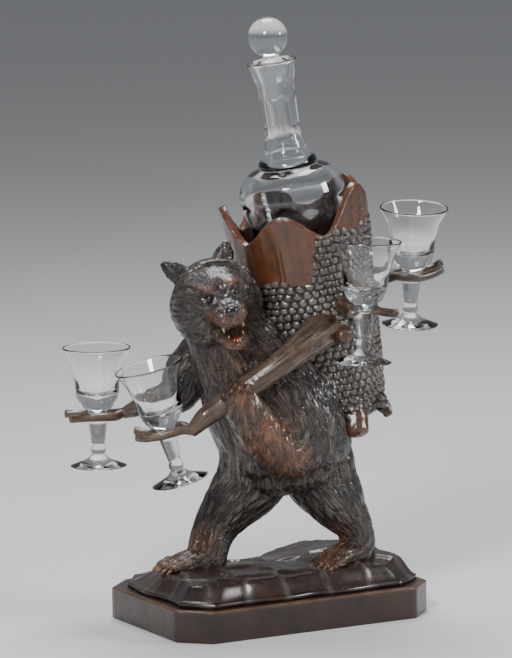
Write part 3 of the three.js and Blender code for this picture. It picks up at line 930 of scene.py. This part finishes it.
    def build(self) -> None:
        """Welds, carves and dresses the bear, then its eyes, teeth, tongue, nose and claws."""
        skin = self.skin()
        normals = skin.normals()
        flow = self.flow(skin.points, normals)
        bend = self.bend(skin, flow)
        face_height, in_head, face_warm = self.face(skin.points)
        body_height, body_wear_and_painted_light = self.fur.relief(skin.points, flow, bend, 1 - in_head)
        head_height, head_wear_and_painted_light = self.face_fur.relief(skin.points, flow, bend, in_head)
        height = body_height + head_height + face_height
        # The ridge mark gives the fur its pale ridge colour, partly a painted highlight, and its painted shade
        # in the grooves.
        wear_and_painted_light = mix(body_wear_and_painted_light, head_wear_and_painted_light, in_head)
        marks = {
            "wear_and_painted_light": wear_and_painted_light, "warm": np.maximum(face_warm, self.warmth(skin.points)),
            "short_hair": in_head, "flow": flow, "bend": bend,
        }
        carved = Shell(skin.points + normals * height[:, None], skin.faces)
        mesh = thinned(mesh_of("bear_figure", carved, marks), self.most_triangles)
        self.workshop.piece("bear_figure", mesh, [Finish.FUR], "carved_wood", ("bear",))
        for name, place in EYES.items():
            ball = Loft((
                (*HEAD.place((place[0], place[1], place[2] - 0.01)), EYE_RADIUS, EYE_RADIUS),
                (*HEAD.place((place[0], place[1], place[2] + 0.01)), EYE_RADIUS, EYE_RADIUS),
            ), HEAD_SIDE, 1.0).shell(0.4)
            self.workshop.piece(name + "_polished", mesh_of(name, ball), [Finish.EYE], "eye_glass", (name,))
        claws = joined([claw for paw in PAWS for claw in paw.claws()])
        self.workshop.piece("claws", mesh_of("claws", claws), [Finish.CLAW], "carved_wood", ("bear",))
        self.mouth()

    def mouth(self) -> None:
        """Teeth in two rows, a tongue between them, and the nose pad."""
        teeth = []
        for side, width, length in ((-8.5, 1.5, 6.0), (8.5, 1.5, 6.0), (-4.5, 1.2, 3.2), (-1.5, 1.2, 3.0),
                                    (1.5, 1.2, 3.0), (4.5, 1.2, 3.2)):
            for jaw, root_up, ahead, towards in (("upper", -8.5, 47.5, -1), ("lower", -28.5, 40.0, 1)):
                reach = ahead - 0.06 * side * side * (1.6 if jaw == "lower" else 1)
                span = side * (0.72 if jaw == "lower" else 1) + (2.2 if jaw == "lower" else 0)
                root = HEAD.station((span, root_up, reach, width, width))
                tip = HEAD.station((span, root_up + towards * length, reach + 0.5, width * 0.35, width * 0.35))
                teeth.append(Loft((root, tip), HEAD_SIDE, 0.8).shell(0.6))
        mesh = mesh_of("teeth", joined(teeth))
        self.workshop.piece("teeth", mesh, [Finish.TOOTH], "carved_wood", ("bear",))
        tongue = Loft(tuple(HEAD.station(s) for s in (
            (1, -22, 24, 4, 1.8), (1.6, -25, 33, 3.8, 1.7), (2.2, -27.3, 39, 3.0, 1.3),
        )), HEAD_SIDE, 0.8)
        mesh = mesh_of("tongue", tongue.shell(0.8))
        self.workshop.piece("tongue", mesh, [Finish.TONGUE], "carved_wood", ("bear",))
        pad = ((0, 3.6, 50, 5.8, 4.4), (0, 3.6, 54.6, 5.4, 4))
        nose = Loft(tuple(HEAD.station(s) for s in pad), HEAD_SIDE, 0.6)
        mesh = mesh_of("nose", nose.shell(0.6))
        self.workshop.piece("nose", mesh, [Finish.NOSE], "carved_wood", ("bear",))


@dataclass
class Base:
    """The plinth with cut corners, and the rocky ground of flagstones carved on it."""

    workshop: Workshop
    length: float = 236
    width: float = 162
    thickness: float = 27
    chamfer: float = 22.7
    inset: float = 6
    edge_height: float = 4
    height: float = 17

    def outline(self, angle: np.ndarray, inset: float) -> np.ndarray:
        """Distance from the centre to the cut-cornered edge, along each angle."""
        half_x, half_y = self.length / 2 - inset, self.width / 2 - inset
        cos, sin = np.abs(np.cos(angle)) + 1e-9, np.abs(np.sin(angle)) + 1e-9
        diagonal = half_x + half_y - self.chamfer
        return np.minimum(np.minimum(half_x / cos, half_y / sin), diagonal / (cos + sin))

    def plinth(self) -> None:
        """The slab: rings of its outline with softly rounded upper and lower edges."""
        half_x, half_y = self.length / 2, self.width / 2
        cuts = np.array([math.atan2(half_y - self.chamfer, half_x), math.atan2(half_y, half_x - self.chamfer)])
        corners = np.concatenate([cuts, math.pi - cuts, math.pi + cuts, TURN - cuts])
        angle = np.unique(np.concatenate([np.arange(120) / 120 * TURN, corners]))
        quarter = np.linspace(0, math.pi / 2, 6)
        low = [(1.5 - 1.5 * math.sin(a), 1.2 - 1.2 * math.cos(a)) for a in quarter]
        sides = [(0.0, z) for z in np.linspace(3, self.thickness - 4, 8)]
        high = [(2.2 - 2.2 * math.cos(a), self.thickness - 1.8 + 1.8 * math.sin(a)) for a in quarter]
        rings = [(1.5, shrink, 0.0) for shrink in (0.0, 0.5, 0.9)]
        rings += [(inset, 1.0, z) for inset, z in low + sides + high]
        rings += [(2.2, shrink, self.thickness) for shrink in np.sqrt(np.linspace(0.97, 0.0, 12))]
        grid = []
        for inset, shrink, z in rings:
            radius = self.outline(angle, inset) * shrink
            x, y = radius * np.cos(angle), radius * np.sin(angle)
            grid.append(np.stack([x, y, np.full_like(angle, z)], axis=1))
        shell = capped(np.array(grid))
        edge = smooth((shell.points[:, 2] - self.thickness + 2.6) / 2.0)
        rim = self.outline(np.arctan2(shell.points[:, 1], shell.points[:, 0]), 0)
        outer = smooth((np.hypot(shell.points[:, 0], shell.points[:, 1]) - rim + 5) / 4)
        marks = {"wear_and_painted_light": 0.5 + 0.5 * edge * outer, "warm": 0.3 * edge * outer}
        mesh = mesh_of("plinth_slab", shell, marks)
        self.workshop.piece("plinth_slab", mesh, [Finish.PLINTH], "plinth_wood", ("plinth",))

    def stones(self, x: np.ndarray, y: np.ndarray) -> tuple[np.ndarray, np.ndarray]:
        """Flagstones: distance to the nearest and to the second nearest middle sets the joint.

        Args:
            x: Places along the plinth.
            y: Places across it.

        Returns:
            How near each place is to a joint, from 0 to 1, and its stone's own random number.
        """
        middles = np.array([
            (-96, -46), (-70, -62), (-40, -60), (-2, -64), (36, -60), (72, -58), (98, -36),
            (-100, -8), (-72, -22), (-30, -24), (8, -22), (60, -20), (100, 6), (-104, 30),
            (-64, 30), (-24, 20), (22, 28), (66, 24), (96, 44), (-80, 62), (-36, 62), (8, 64), (52, 62),
        ], dtype=float)
        places = np.stack([x, y], axis=1)
        places = places + 3.0 * np.stack([noise(places, 14.0, 8), noise(places, 14.0, 9)], axis=1)
        away = np.linalg.norm(places[:, None] - middles, axis=2)
        nearest = away.argmin(axis=1)
        away.sort(axis=1)
        joint = 1 - smooth((away[:, 1] - away[:, 0]) / 9)
        return joint, scatter(nearest[:, None], 5)

    def ground(self) -> None:
        """The ground: rings that climb from a low edge to a lumpy top, with raised joints."""
        cols, rows = 380, 62
        angle = np.arange(cols) / cols * TURN
        reach = np.sqrt(np.linspace(0, 1, rows))[:, None]
        edge = self.outline(angle, self.inset) * (1 - 0.02 * (1 + np.cos(9 * angle + 1)))
        radius = edge * reach
        x, y = (radius * np.cos(angle)).ravel(), (radius * np.sin(angle)).ravel()
        right, back = smooth((x - 5) / 60), smooth((y - 5) / 50)
        top = self.height + 5 * right * smooth((y + 75) / 45) - mix(6, 3, right) * back
        joint, own = self.stones(x, y)
        places = np.stack([x, y], axis=1)
        top = top + 1.6 * joint + 1.4 * (own - 0.5) * (1 - joint) + 0.5 * noise(places, 9.0, 12)
        top = top + 0.35 * joint * noise(places, 1.6, 13)
        bank = np.where(y > 0, 27.0, 16.0)
        climb = smooth(((edge - radius).ravel()) / bank)
        z = self.thickness + 0.3 + mix(self.edge_height, top, climb)
        surface = np.stack([x, y, z], axis=1).reshape(rows, cols, 3)
        under = []
        for shrink in (1.0, 0.6, 0.0):
            ring = surface[-1].copy() * np.array([shrink, shrink, 0])
            ring[:, 2] = self.thickness + 0.3
            under.append(ring)
        shell = capped(np.concatenate([surface, np.array(under)]))
        joint, own = self.stones(shell.points[:, 0], shell.points[:, 1])
        # Raised joints take the pale ridge colour, partly a painted highlight; the lower mark on the stones
        # darkens them a little as painted shade.
        marks = {"wear_and_painted_light": 0.42 + 0.45 * joint, "warm": (1 - joint) * (0.2 + 0.5 * own)}
        mesh = mesh_of("rocky_ground", shell, marks)
        self.workshop.piece("rocky_ground", mesh, [Finish.GROUND], "carved_wood", ("bear",))

    def build(self) -> None:
        """Makes the plinth and the ground."""
        self.plinth()
        self.ground()


@dataclass(frozen=True)
class TrunkFrame:
    """The trunk's own frame: an angle from its front, a radius and a height over its rim plane."""

    rim_centre: tuple[float, float, float] = (36.3, 7.9, 327.6)
    lean: tuple[float, float, float] = (-0.155, 0, 0.988)
    bearing: tuple[float, float, float] = (-0.469, -0.883, 0)

    def axes(self) -> np.ndarray:
        """Front, right and up as rows."""
        up = unit(np.array(self.lean))
        bearing = np.array(self.bearing)
        front = unit(bearing - (bearing @ up) * up)
        return np.array([front, np.cross(up, front), up])

    def place(self, angle: np.ndarray, radius: np.ndarray, height: np.ndarray) -> np.ndarray:
        """Points at angles, radii and heights."""
        angle, radius, height = np.broadcast_arrays(angle, radius, height)
        local = np.stack([np.cos(angle) * radius, np.sin(angle) * radius, height], axis=-1)
        return np.array(self.rim_centre) + local @ self.axes()

    def local(self, points: np.ndarray) -> tuple[np.ndarray, np.ndarray, np.ndarray]:
        """Angle, radius and height of points."""
        local = (points - np.array(self.rim_centre)) @ self.axes().T
        return np.arctan2(local[:, 1], local[:, 0]), np.hypot(local[:, 0], local[:, 1]), local[:, 2]


TRUNK = TrunkFrame()


@dataclass
class Trunk:
    """The hollow log: pebbled bark, bare panels under the lobes of its rim, and cut stubs."""

    workshop: Workshop
    rim_radius: float = 60
    foot_radius: float = 50
    length: float = 172
    wall: float = 7.5
    socket_depth: float = 51.5
    voxel: float = 0.95
    most_triangles: int = 140000

    def rim_height(self, angle: np.ndarray) -> np.ndarray:
        """Height of the rim: five lobes, each a raised cosine to the power 0.8, over a dip.

        Args:
            angle: Bearing from the front.

        Returns:
            Height over the rim plane.
        """
        first, dip, peaks = math.radians(-13), -4.0, np.array([18.0, 33, 28, 25, 25])
        turns = ((angle - first) / TURN + 2) * len(peaks)
        peak = peaks[np.round(turns).astype(int) % len(peaks)]
        return dip + (peak - dip) * (0.5 + 0.5 * np.cos(turns * TURN)) ** 0.8

    def body(self) -> Shell:
        """The wall as rings: up the outside, over the rim and down into the socket."""
        cols = 300
        angle = np.arange(cols) / cols * TURN
        rim = self.rim_height(angle)
        flare = 3 * smooth((rim + 4) / 30)
        radius, wall, depth = self.rim_radius, self.wall, self.socket_depth
        keys = [(0.0, -self.length), (self.foot_radius * 0.6, -self.length),
                (self.foot_radius * 0.9, -self.length + 6)]
        keys += [(mix(radius, self.foot_radius, min(1.0, f)), -h * self.length)
                 for f, h in ((0.93, 0.88), (0.6, 0.6), (0.28, 0.28), (0.08, 0.08))]
        outside = [(r + 0 * angle, h + 0 * angle) for r, h in keys]
        outside += [(radius + flare * 0.5, rim * 0.45), (radius + flare, rim - 2)]
        inside = [
            (radius - wall * 0.75 + flare, rim), (radius - wall + 0 * angle, rim * 0.45 - 4),
            (radius - wall - 1 + 0 * angle, -depth * 0.5 + 0 * angle),
            (radius - wall - 2.5 + 0 * angle, -depth + 2 + 0 * angle),
            (radius - wall - 5 + 0 * angle, -depth + 0 * angle), (0 * angle, -depth + 0 * angle),
        ]
        rings = np.array([TRUNK.place(angle, r, h) for r, h in outside + inside])
        fine = [rings[0]]
        for low, high in zip(rings[:-1], rings[1:]):
            steps = max(1, int(np.linalg.norm(high - low, axis=1).max() / 3))
            fine += [mix(low, high, (i + 1) / steps) for i in range(steps)]
        return capped(np.array(fine))

    def stubs(self) -> list[Shell]:
        """The gutter that hangs down, the short twig and the knob."""
        shapes = (
            ((66, -20, 192, 14, 13), (62, -38, 174, 11.5, 10.5), (59, -50, 156, 9.5, 8.5)),
            ((82, -22, 188, 9, 8), (92, -34, 174, 6, 5), (95, -39, 166, 4, 3.5)),
            ((46, -36, 239, 11, 10), (43, -56, 240, 7.5, 7), (42, -63, 240, 6, 6)),
        )
        return [Loft(stations, PICTURE_PLANE, 0.35).shell(1.2) for stations in shapes]

    def bare(self, angle: np.ndarray, height: np.ndarray) -> np.ndarray:
        """Where the bark is stripped: a broad panel from the front lobe round to the left, and the rim."""
        middle, half_width, fade = math.radians(-51), math.radians(66), math.radians(12)
        front = smooth((half_width - np.abs(angle - middle)) / fade)
        reach = mix(3.0, 41.0, front) + 3 * np.cos(angle * 7)
        return smooth((height + reach) / 2.5)

    def scales(self, angle: np.ndarray, height: np.ndarray) -> tuple[np.ndarray, np.ndarray]:
        """Pebbled bark: jittered middles in staggered rows, each with a round crown.

        Args:
            angle: Bearing from the front.
            height: Height over the rim plane.

        Returns:
            Crown height from 0 in the joints to 1, and each pebble's own random number.
        """
        pitch_u, pitch_v = 7.6, 6.0
        u = angle * 56 / pitch_u + 0.12 * height / pitch_u
        v = height / pitch_v
        best = np.full(len(angle), 9.0)
        second = np.full(len(angle), 9.0)
        own = np.zeros(len(angle))
        wrap = int(round(TURN * 56 / pitch_u))
        base_v = np.floor(v)
        for dv, du in itertools.product((-1, 0, 1), (-1, 0, 1)):
            row = base_v + dv
            shift = 0.5 * np.mod(row, 2)
            column = np.floor(u - shift) + du
            cells = np.stack([np.mod(column, wrap), row], axis=1).astype(np.int64)
            cu = column + shift + 0.5 + 0.36 * (scatter(cells, 31) - 0.5)
            cv = row + 0.5 + 0.36 * (scatter(cells, 32) - 0.5)
            away = np.hypot((u - cu), (v - cv) * 1.05)
            nearer = away < best
            second = np.where(nearer, best, np.minimum(second, away))
            own = np.where(nearer, scatter(cells, 33), own)
            best = np.where(nearer, away, best)
        edge = smooth((second - best) / 0.32)
        return edge * np.sqrt(np.clip(1 - (best / 0.85) ** 2, 0, 1)), own

    def build(self) -> None:
        """Welds the log and its stubs, carves bark and bare wood, and dresses them."""
        skin = welded(joined([self.body(), *self.stubs()]), self.voxel, 2)
        normals = skin.normals()
        angle, radius, height = TRUNK.local(skin.points)
        outer_radius = mix(self.rim_radius, self.foot_radius, np.clip(-height / (0.93 * self.length), 0, 1))
        outside = smooth((radius - outer_radius + 5) / 3) * smooth((height + self.length - 4) / 4)
        stub = smooth((radius - outer_radius - 5) / 3) * (height < -30)
        rim_face = smooth((height - self.rim_height(angle) + 3.0) / 2.0)
        bare = self.bare(angle, height)
        crown, own = self.scales(angle, height)
        arc = np.stack([angle * 56, height * 0.06], axis=1)
        grain = noise(arc, 1.7, 41) * 0.5 + noise(arc, 4.5, 42) * 0.8
        barky = outside * (1 - bare) * (1 - stub) * (1 - rim_face)
        relief = barky * (2.3 * crown - 1.2 + 0.5 * (own - 0.5))
        relief += outside * bare * (1 - rim_face) * (0.55 * grain - 0.3)
        relief += (1 - outside) * (height > -self.socket_depth + 4) * 0.35 * grain
        relief += stub * 0.45 * noise(skin.points * np.array([1, 1, 0.35]), 2.2, 44)
        carved = Shell(skin.points + normals * relief[:, None], skin.faces)
        # Pebble crowns take the pale ridge colour as a painted highlight and the joints between pebbles get
        # painted shade; bare wood and the rim face are paler too.
        wear_and_painted_light = barky * (0.1 + 0.9 * crown) + (1 - barky) * (0.55 + 0.2 * grain) + 0.4 * rim_face
        warm = np.clip(bare * outside + 0.4 * (1 - outside) + 0.5 * stub + 0.35 * rim_face, 0, 1)
        mesh = mesh_of("log", carved, {"wear_and_painted_light": np.clip(wear_and_painted_light, 0, 1), "warm": warm})
        mesh = thinned(mesh, self.most_triangles)
        self.workshop.piece("log", mesh, [Finish.BARK], "bark_wood", ("trunk",))


@dataclass(frozen=True)
class Goblet:
    """One stemmed glass: where its foot and rim stand, and its profile."""

    foot: tuple[float, float, float]
    rim: tuple[float, float, float]

    def axis(self) -> np.ndarray:
        """Direction from foot to rim."""
        return unit(np.array(self.rim) - np.array(self.foot))


GOBLETS = {
    "goblet_back_left": Goblet((-121.8, 70.4, 127.3), (-121.5, 70.3, 230.5)),
    "goblet_front_left": Goblet((-91.3, -19.4, 125.4), (-115.7, -13.2, 223.9)),
    "goblet_front_right": Goblet((42.3, -90.4, 221.6), (46.6, -92.7, 320.1)),
    "goblet_right": Goblet((120.1, -32.2, 238.9), (119.4, -43.1, 336.3)),
}
GOBLET_NECK = 43.5


@dataclass(frozen=True)
class Fork:
    """A twig let into the trunk that ends in two prongs for a glass."""

    goblet: str
    out: tuple[float, float, float]
    splay: float
    rise: float
    stations: tuple[tuple[float, ...], ...]

    def frame(self) -> tuple[np.ndarray, np.ndarray, np.ndarray, np.ndarray]:
        """The neck of the glass, the way out past it, the way across, and the glass's axis."""
        glass = GOBLETS[self.goblet]
        axis = glass.axis()
        neck = np.array(glass.foot) + axis * GOBLET_NECK
        out = np.array(self.out)
        ahead = unit(out - (out @ axis) * axis)
        return neck, ahead, np.cross(axis, ahead), axis

    def lofts(self) -> list[Loft]:
        """The stem and its two prongs."""
        neck, ahead, beside, axis = self.frame()
        radius, gap, reach = 3.7, 10.1, 25.0
        made = [Loft(self.stations, tuple(beside), 0.5)]
        for side in (-1, 1):
            places = (
                (-13, side * (gap - 2.5), -0.5, 1.1, 1.0), (-4, side * gap, 0, 1, 1), (6, side * gap, 0, 1, 1),
                (reach * 0.7, side * (gap + self.splay * 0.5), self.rise * 0.4, 0.95, 0.95),
                (reach, side * (gap + self.splay), self.rise, 0.9, 0.9),
            )
            stations = [(*self.stations[0][:3], radius * 1.1, radius * 1.1)]
            stations += [
                (*(neck + ahead * f + beside * s + axis * up), radius * a, radius * b)
                for f, s, up, a, b in places
            ]
            made.append(Loft(tuple(stations), tuple(beside), 0.3))
        return made


FORKS = {
    "back_left_limb": Fork("goblet_back_left", (-0.95, 0.3, 0), 3, 0, (
        (-101, 62, 172, 5.5, 5), (-90, 54, 177, 8, 7.5), (-72, 44, 183, 8, 8), (-36, 52, 196, 9, 9),
        (0, 50, 213, 11, 11), (20, 40, 225, 14, 13), (32, 32, 231, 15, 14),
    )),
    "front_left_limb": Fork("goblet_front_left", (-0.9, 0.42, -0.2), 3, 5, (
        (-84, -27, 168, 6, 5.5), (-72, -34, 181, 9, 8.5), (-52, -45, 197, 9.5, 9), (-22, -57, 218, 10, 10),
        (5, -56, 234, 12, 12), (27, -44, 242, 16, 15), (37, -35, 245, 15, 15),
    )),
    "front_right_fork": Fork("goblet_front_right", (-0.2, -0.98, 0), 9, 1, (
        (47, -71, 263, 6.5, 5), (48, -60, 263, 8, 6.5), (49, -50, 264, 9, 8),
    )),
    "right_fork": Fork("goblet_right", (0.883, -0.469, 0), 1, 8, (
        (101, -28, 279, 6.5, 5.5), (92, -22, 279, 9, 7), (84, -17, 279, 12, 9),
    )),
}


@dataclass
class Twigs:
    """The four forked twigs, carved with ribs along their length."""

    workshop: Workshop
    voxel: float = 0.7

    def carve(self, fork: Fork, skin: Shell) -> tuple[np.ndarray, dict[str, np.ndarray]]:
        """Relief of a twig: ribs that run along its stem and prongs.

        Args:
            fork: The twig.
            skin: Its welded skin.

        Returns:
            Height in millimetres for each point, and its marks.
        """
        best = np.full(len(skin.points), 1e9)
        relief = np.zeros(len(skin.points))
        wear_and_painted_light = np.zeros(len(skin.points))
        for number, loft in enumerate(fork.lofts()):
            near = loft.nearest(skin.points)
            length = np.linalg.norm(np.diff(np.array(loft.stations)[:, :3], axis=0), axis=1).sum()
            run = near["t"] * length
            size = np.array(loft.stations)[:, 3].mean()
            ring = np.stack([run * 0.16, np.cos(near["angle"]) * size, np.sin(near["angle"]) * size], axis=1)
            ribs = noise(ring, 1.7, 51 + number) + 0.5 * noise(ring, 0.9, 61 + number)
            here = 0.45 * ribs
            # Rib tops take the pale ridge colour, partly a painted highlight, and rib grooves are darkened as
            # painted shade.
            ridge = 0.55 + 0.3 * ribs
            closer = near["gap"] < best
            relief = np.where(closer, here, relief)
            wear_and_painted_light = np.where(closer, ridge, wear_and_painted_light)
            best = np.where(closer, near["gap"], best)
        return relief, {"wear_and_painted_light": np.clip(wear_and_painted_light, 0, 1), "warm": 0.25 + 0 * wear_and_painted_light}

    def build(self) -> None:
        """Welds, carves and dresses each twig."""
        for name, fork in FORKS.items():
            skin = welded(joined([loft.shell(0.9) for loft in fork.lofts()]), self.voxel, 2)
            relief, marks = self.carve(fork, skin)
            carved = Shell(skin.points + skin.normals() * relief[:, None], skin.faces)
            mesh = thinned(mesh_of(name + "_carved", carved, marks), 26000)
            self.workshop.piece(name + "_carved", mesh, [Finish.TWIG], "twig_wood", (name,))


@dataclass
class Glassware:
    """The decanter, its stopper and the four goblets, turned with true walls."""

    workshop: Workshop

    def rounded(self, keys: np.ndarray, step: float) -> np.ndarray:
        """Softens a run of straight lines: two running means over 4 mm, with both ends kept.

        Args:
            keys: Radius and height at each bend.
            step: Spacing of the points that come back.

        Returns:
            Points along the softened run.
        """
        fine, window = 0.25, 17
        run = np.concatenate([[0], np.cumsum(np.linalg.norm(np.diff(keys, axis=0), axis=1))])
        places = np.linspace(0, run[-1], max(3, int(run[-1] / fine)))
        line = np.stack([np.interp(places, run, keys[:, i]) for i in range(2)], axis=1)
        half = min(window // 2, len(line) - 1)
        for _ in range(2):
            before = 2 * line[0] - line[half:0:-1]
            after = 2 * line[-1] - line[-2:-2 - half:-1]
            padded = np.vstack([before, line, after])
            total = np.vstack([np.zeros(2), np.cumsum(padded, axis=0)])
            line = (total[2 * half + 1:] - total[: -2 * half - 1]) / (2 * half + 1)
        count = max(2, int(run[-1] / step) + 1)
        return line[np.round(np.linspace(0, len(line) - 1, count)).astype(int)]

    def turned(
        self, name: str, profile: tuple[tuple[tuple[float, float], ...], ...], foot: np.ndarray,
        axis: np.ndarray, around: int, step: float, facets: tuple[float, float] | None = None,
    ) -> bpy.types.Mesh:
        """Spins a profile about an axis.

        Args:
            name: Name of the mesh.
            profile: Stretches of radius and height pairs, with a true corner between stretches.
            foot: Where the axis starts.
            axis: Its direction.
            around: Points round the ring.
            step: Spacing along the profile.
            facets: Lowest and highest height of eight flat cuts, or None.

        Returns:
            The mesh.
        """
        line = np.vstack([self.rounded(np.array(stretch, dtype=float), step) for stretch in profile])
        line[0, 0] = line[-1, 0] = 0
        line[:, 0] = np.maximum(line[:, 0], 0)
        angle = np.arange(around) / around * TURN
        radius = np.repeat(line[:, :1], around, axis=1)
        if facets:
            low, high = facets
            cut = smooth((line[:, 1] - low) / 4) * smooth((high - line[:, 1]) / 4) * (line[:, 0] > 11)
            eighth = TURN / 8
            flat = math.cos(eighth / 2) / np.cos(np.mod(angle, eighth) - eighth / 2)
            radius = radius * mix(np.ones_like(flat), flat * 1.03, cut[:, None])
        side = unit(np.cross(axis, np.array([0.31, 0.95, 0.02])))
        depth = np.cross(axis, side)
        ring = np.cos(angle)[:, None] * side + np.sin(angle)[:, None] * depth
        grid = foot + radius[..., None] * ring[None] + line[:, 1, None, None] * axis
        return mesh_of(name, capped(grid))

    def build(self) -> None:
        """Makes the goblets, the decanter and the stopper."""
        goblet = (
            ((0, 0), (23.2, 0.4)),
            ((23.7, 1.0), (9.2, 6.5), (5.2, 11)),
            ((5.6, 12), (7.2, 14), (5, 17), (6.4, 26), (7.8, 38)),
            ((7.2, 39), (5, 41.6), (5, 44), (8.6, 46.4)),
            ((8.6, 47.6), (14.2, 52), (18.0, 60), (19.0, 74), (22.5, 89), (28.6, 100.4)),
            ((28.3, 101), (27.6, 101)),
            ((27.2, 100.2), (21.4, 89), (17.2, 73), (14.4, 62.5), (0, 59.2)),
        )
        for name, glass in GOBLETS.items():
            mesh = self.turned(name, goblet, np.array(glass.foot), glass.axis(), 64, 1.3)
            self.workshop.piece(name + "_blown", mesh, [Finish.CLEAR_GLASS], "clear_glass", (name,))
        decanter = (
            ((0, 2.5), (12, 2.2), (28, 0), (33, 2), (35, 20), (38, 52), (43.8, 68), (44.6, 78), (41, 90),
             (33, 96.5), (23.5, 99.8)),
            ((23.5, 99.8), (25.2, 101.6), (24.3, 104.4), (17.5, 114.5), (14.3, 128), (15.6, 171),
             (20.8, 187.4)),
            ((20.5, 188.6), (13.4, 188.6)),
            ((13, 188), (9.6, 172), (9, 124), (14.5, 108.5), (30, 94.5), (38.5, 88), (41.4, 76), (33, 42),
             (30, 9), (0, 7.5)),
        )
        foot = TRUNK.place(0, 0, -50.9)
        axis = TRUNK.axes()[2]
        mesh = self.turned("decanter", decanter, foot, axis, 96, 1.5, (128, 160))
        self.workshop.piece("decanter_blown", mesh, [Finish.CLEAR_GLASS], "clear_glass", ("decanter",))
        ball_radius, ball_height, neck_angle = 16.6, 209, 0.403
        ball = tuple(
            (ball_radius * math.sin(a), ball_height - ball_radius * math.cos(a))
            for a in np.linspace(neck_angle, math.pi, 24)
        )
        plug = ((8.4, 158.4), (9.2, 172), (11.6, 186))
        stopper = (((0, 158), (8, 158)), plug, ((11, 189), (6.5, 190.6), ball[0]), ball)
        mesh = self.turned("stopper", stopper, foot, axis, 72, 1.2)
        self.workshop.piece("stopper_cut", mesh, [Finish.CLEAR_GLASS], "clear_glass", ("stopper",))


@dataclass(frozen=True)
class Studio:
    """Pale floor, soft lights, and the camera at the photograph's angle."""

    azimuth: float = -28
    elevation: float = 8.6
    target: tuple[float, float, float] = (0, 0, 0.25)
    distance: float = 4.2
    lens: float = 276.8
    roll: float = 1.0
    shift: tuple[float, float] = (-0.0131, -0.015)

    def camera(self) -> None:
        """Looks at the target from the azimuth and elevation, rolled and shifted a little."""
        across, up = math.radians(self.azimuth), math.radians(self.elevation)
        back = Vector((math.sin(across) * math.cos(up), -math.cos(across) * math.cos(up), math.sin(up)))
        camera = bpy.data.objects.new("camera", bpy.data.cameras.new("camera"))
        bpy.context.scene.collection.objects.link(camera)
        turn = back.to_track_quat("Z", "Y").to_matrix().to_4x4()
        roll = Matrix.Rotation(math.radians(-self.roll), 4, "Z")
        camera.matrix_world = Matrix.Translation(Vector(self.target) + back * self.distance) @ turn @ roll
        camera.data.lens = self.lens
        camera.data.sensor_width = 36
        camera.data.shift_x, camera.data.shift_y = self.shift
        bpy.context.scene.camera = camera

    def light(self, name: str, place: tuple[float, float, float], size: float, power: float) -> None:
        """A square soft light that faces the middle of the stand."""
        lamp = bpy.data.lights.new(name, "AREA")
        lamp.size = size
        lamp.energy = power
        thing = bpy.data.objects.new(name, lamp)
        bpy.context.scene.collection.objects.link(thing)
        away = Vector(place) - Vector(self.target)
        turn = away.to_track_quat("Z", "Y").to_matrix().to_4x4()
        thing.matrix_world = Matrix.Translation(Vector(place)) @ turn

    def build(self) -> None:
        """Sets up the floor, the world, the lights and the camera."""
        half = 6.0
        corners = np.array([(-half, -half, 0), (half, -half, 0), (half, half, 0), (-half, half, 0)]) / MM
        floor = object_of("floor", mesh_of("floor", Shell(corners, np.array([[0, 1, 2, 3]]))))
        floor.data.materials.append(PlainFinish("floor_paper", (0.62, 0.62, 0.62, 1), 0.9).material())
        world = bpy.data.worlds.new("studio")
        world.use_nodes = True
        world.node_tree.nodes["Background"].inputs[0].default_value = (0.55, 0.57, 0.6, 1)
        world.node_tree.nodes["Background"].inputs[1].default_value = 0.4
        bpy.context.scene.world = world
        self.light("key", (-1.4, -1.3, 1.5), 0.5, 48)
        self.light("fill", (1.5, -1.2, 1.0), 0.45, 24)
        self.light("top", (0.3, 0.7, 1.9), 0.9, 34)
        self.camera()


def main() -> None:
    """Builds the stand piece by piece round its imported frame."""
    logging.basicConfig(level=logging.INFO, format="%(message)s")
    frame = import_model()
    LOG.info("frame: %d solids", len(frame["nodes"]))
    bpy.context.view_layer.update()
    workshop = Workshop()
    Studio().build()
    Base(workshop).build()
    Trunk(workshop).build()
    Twigs(workshop).build()
    Glassware(workshop).build()
    BearFigure(workshop).build()
    bpy.context.view_layer.update()


if __name__ == "__main__":
    main()
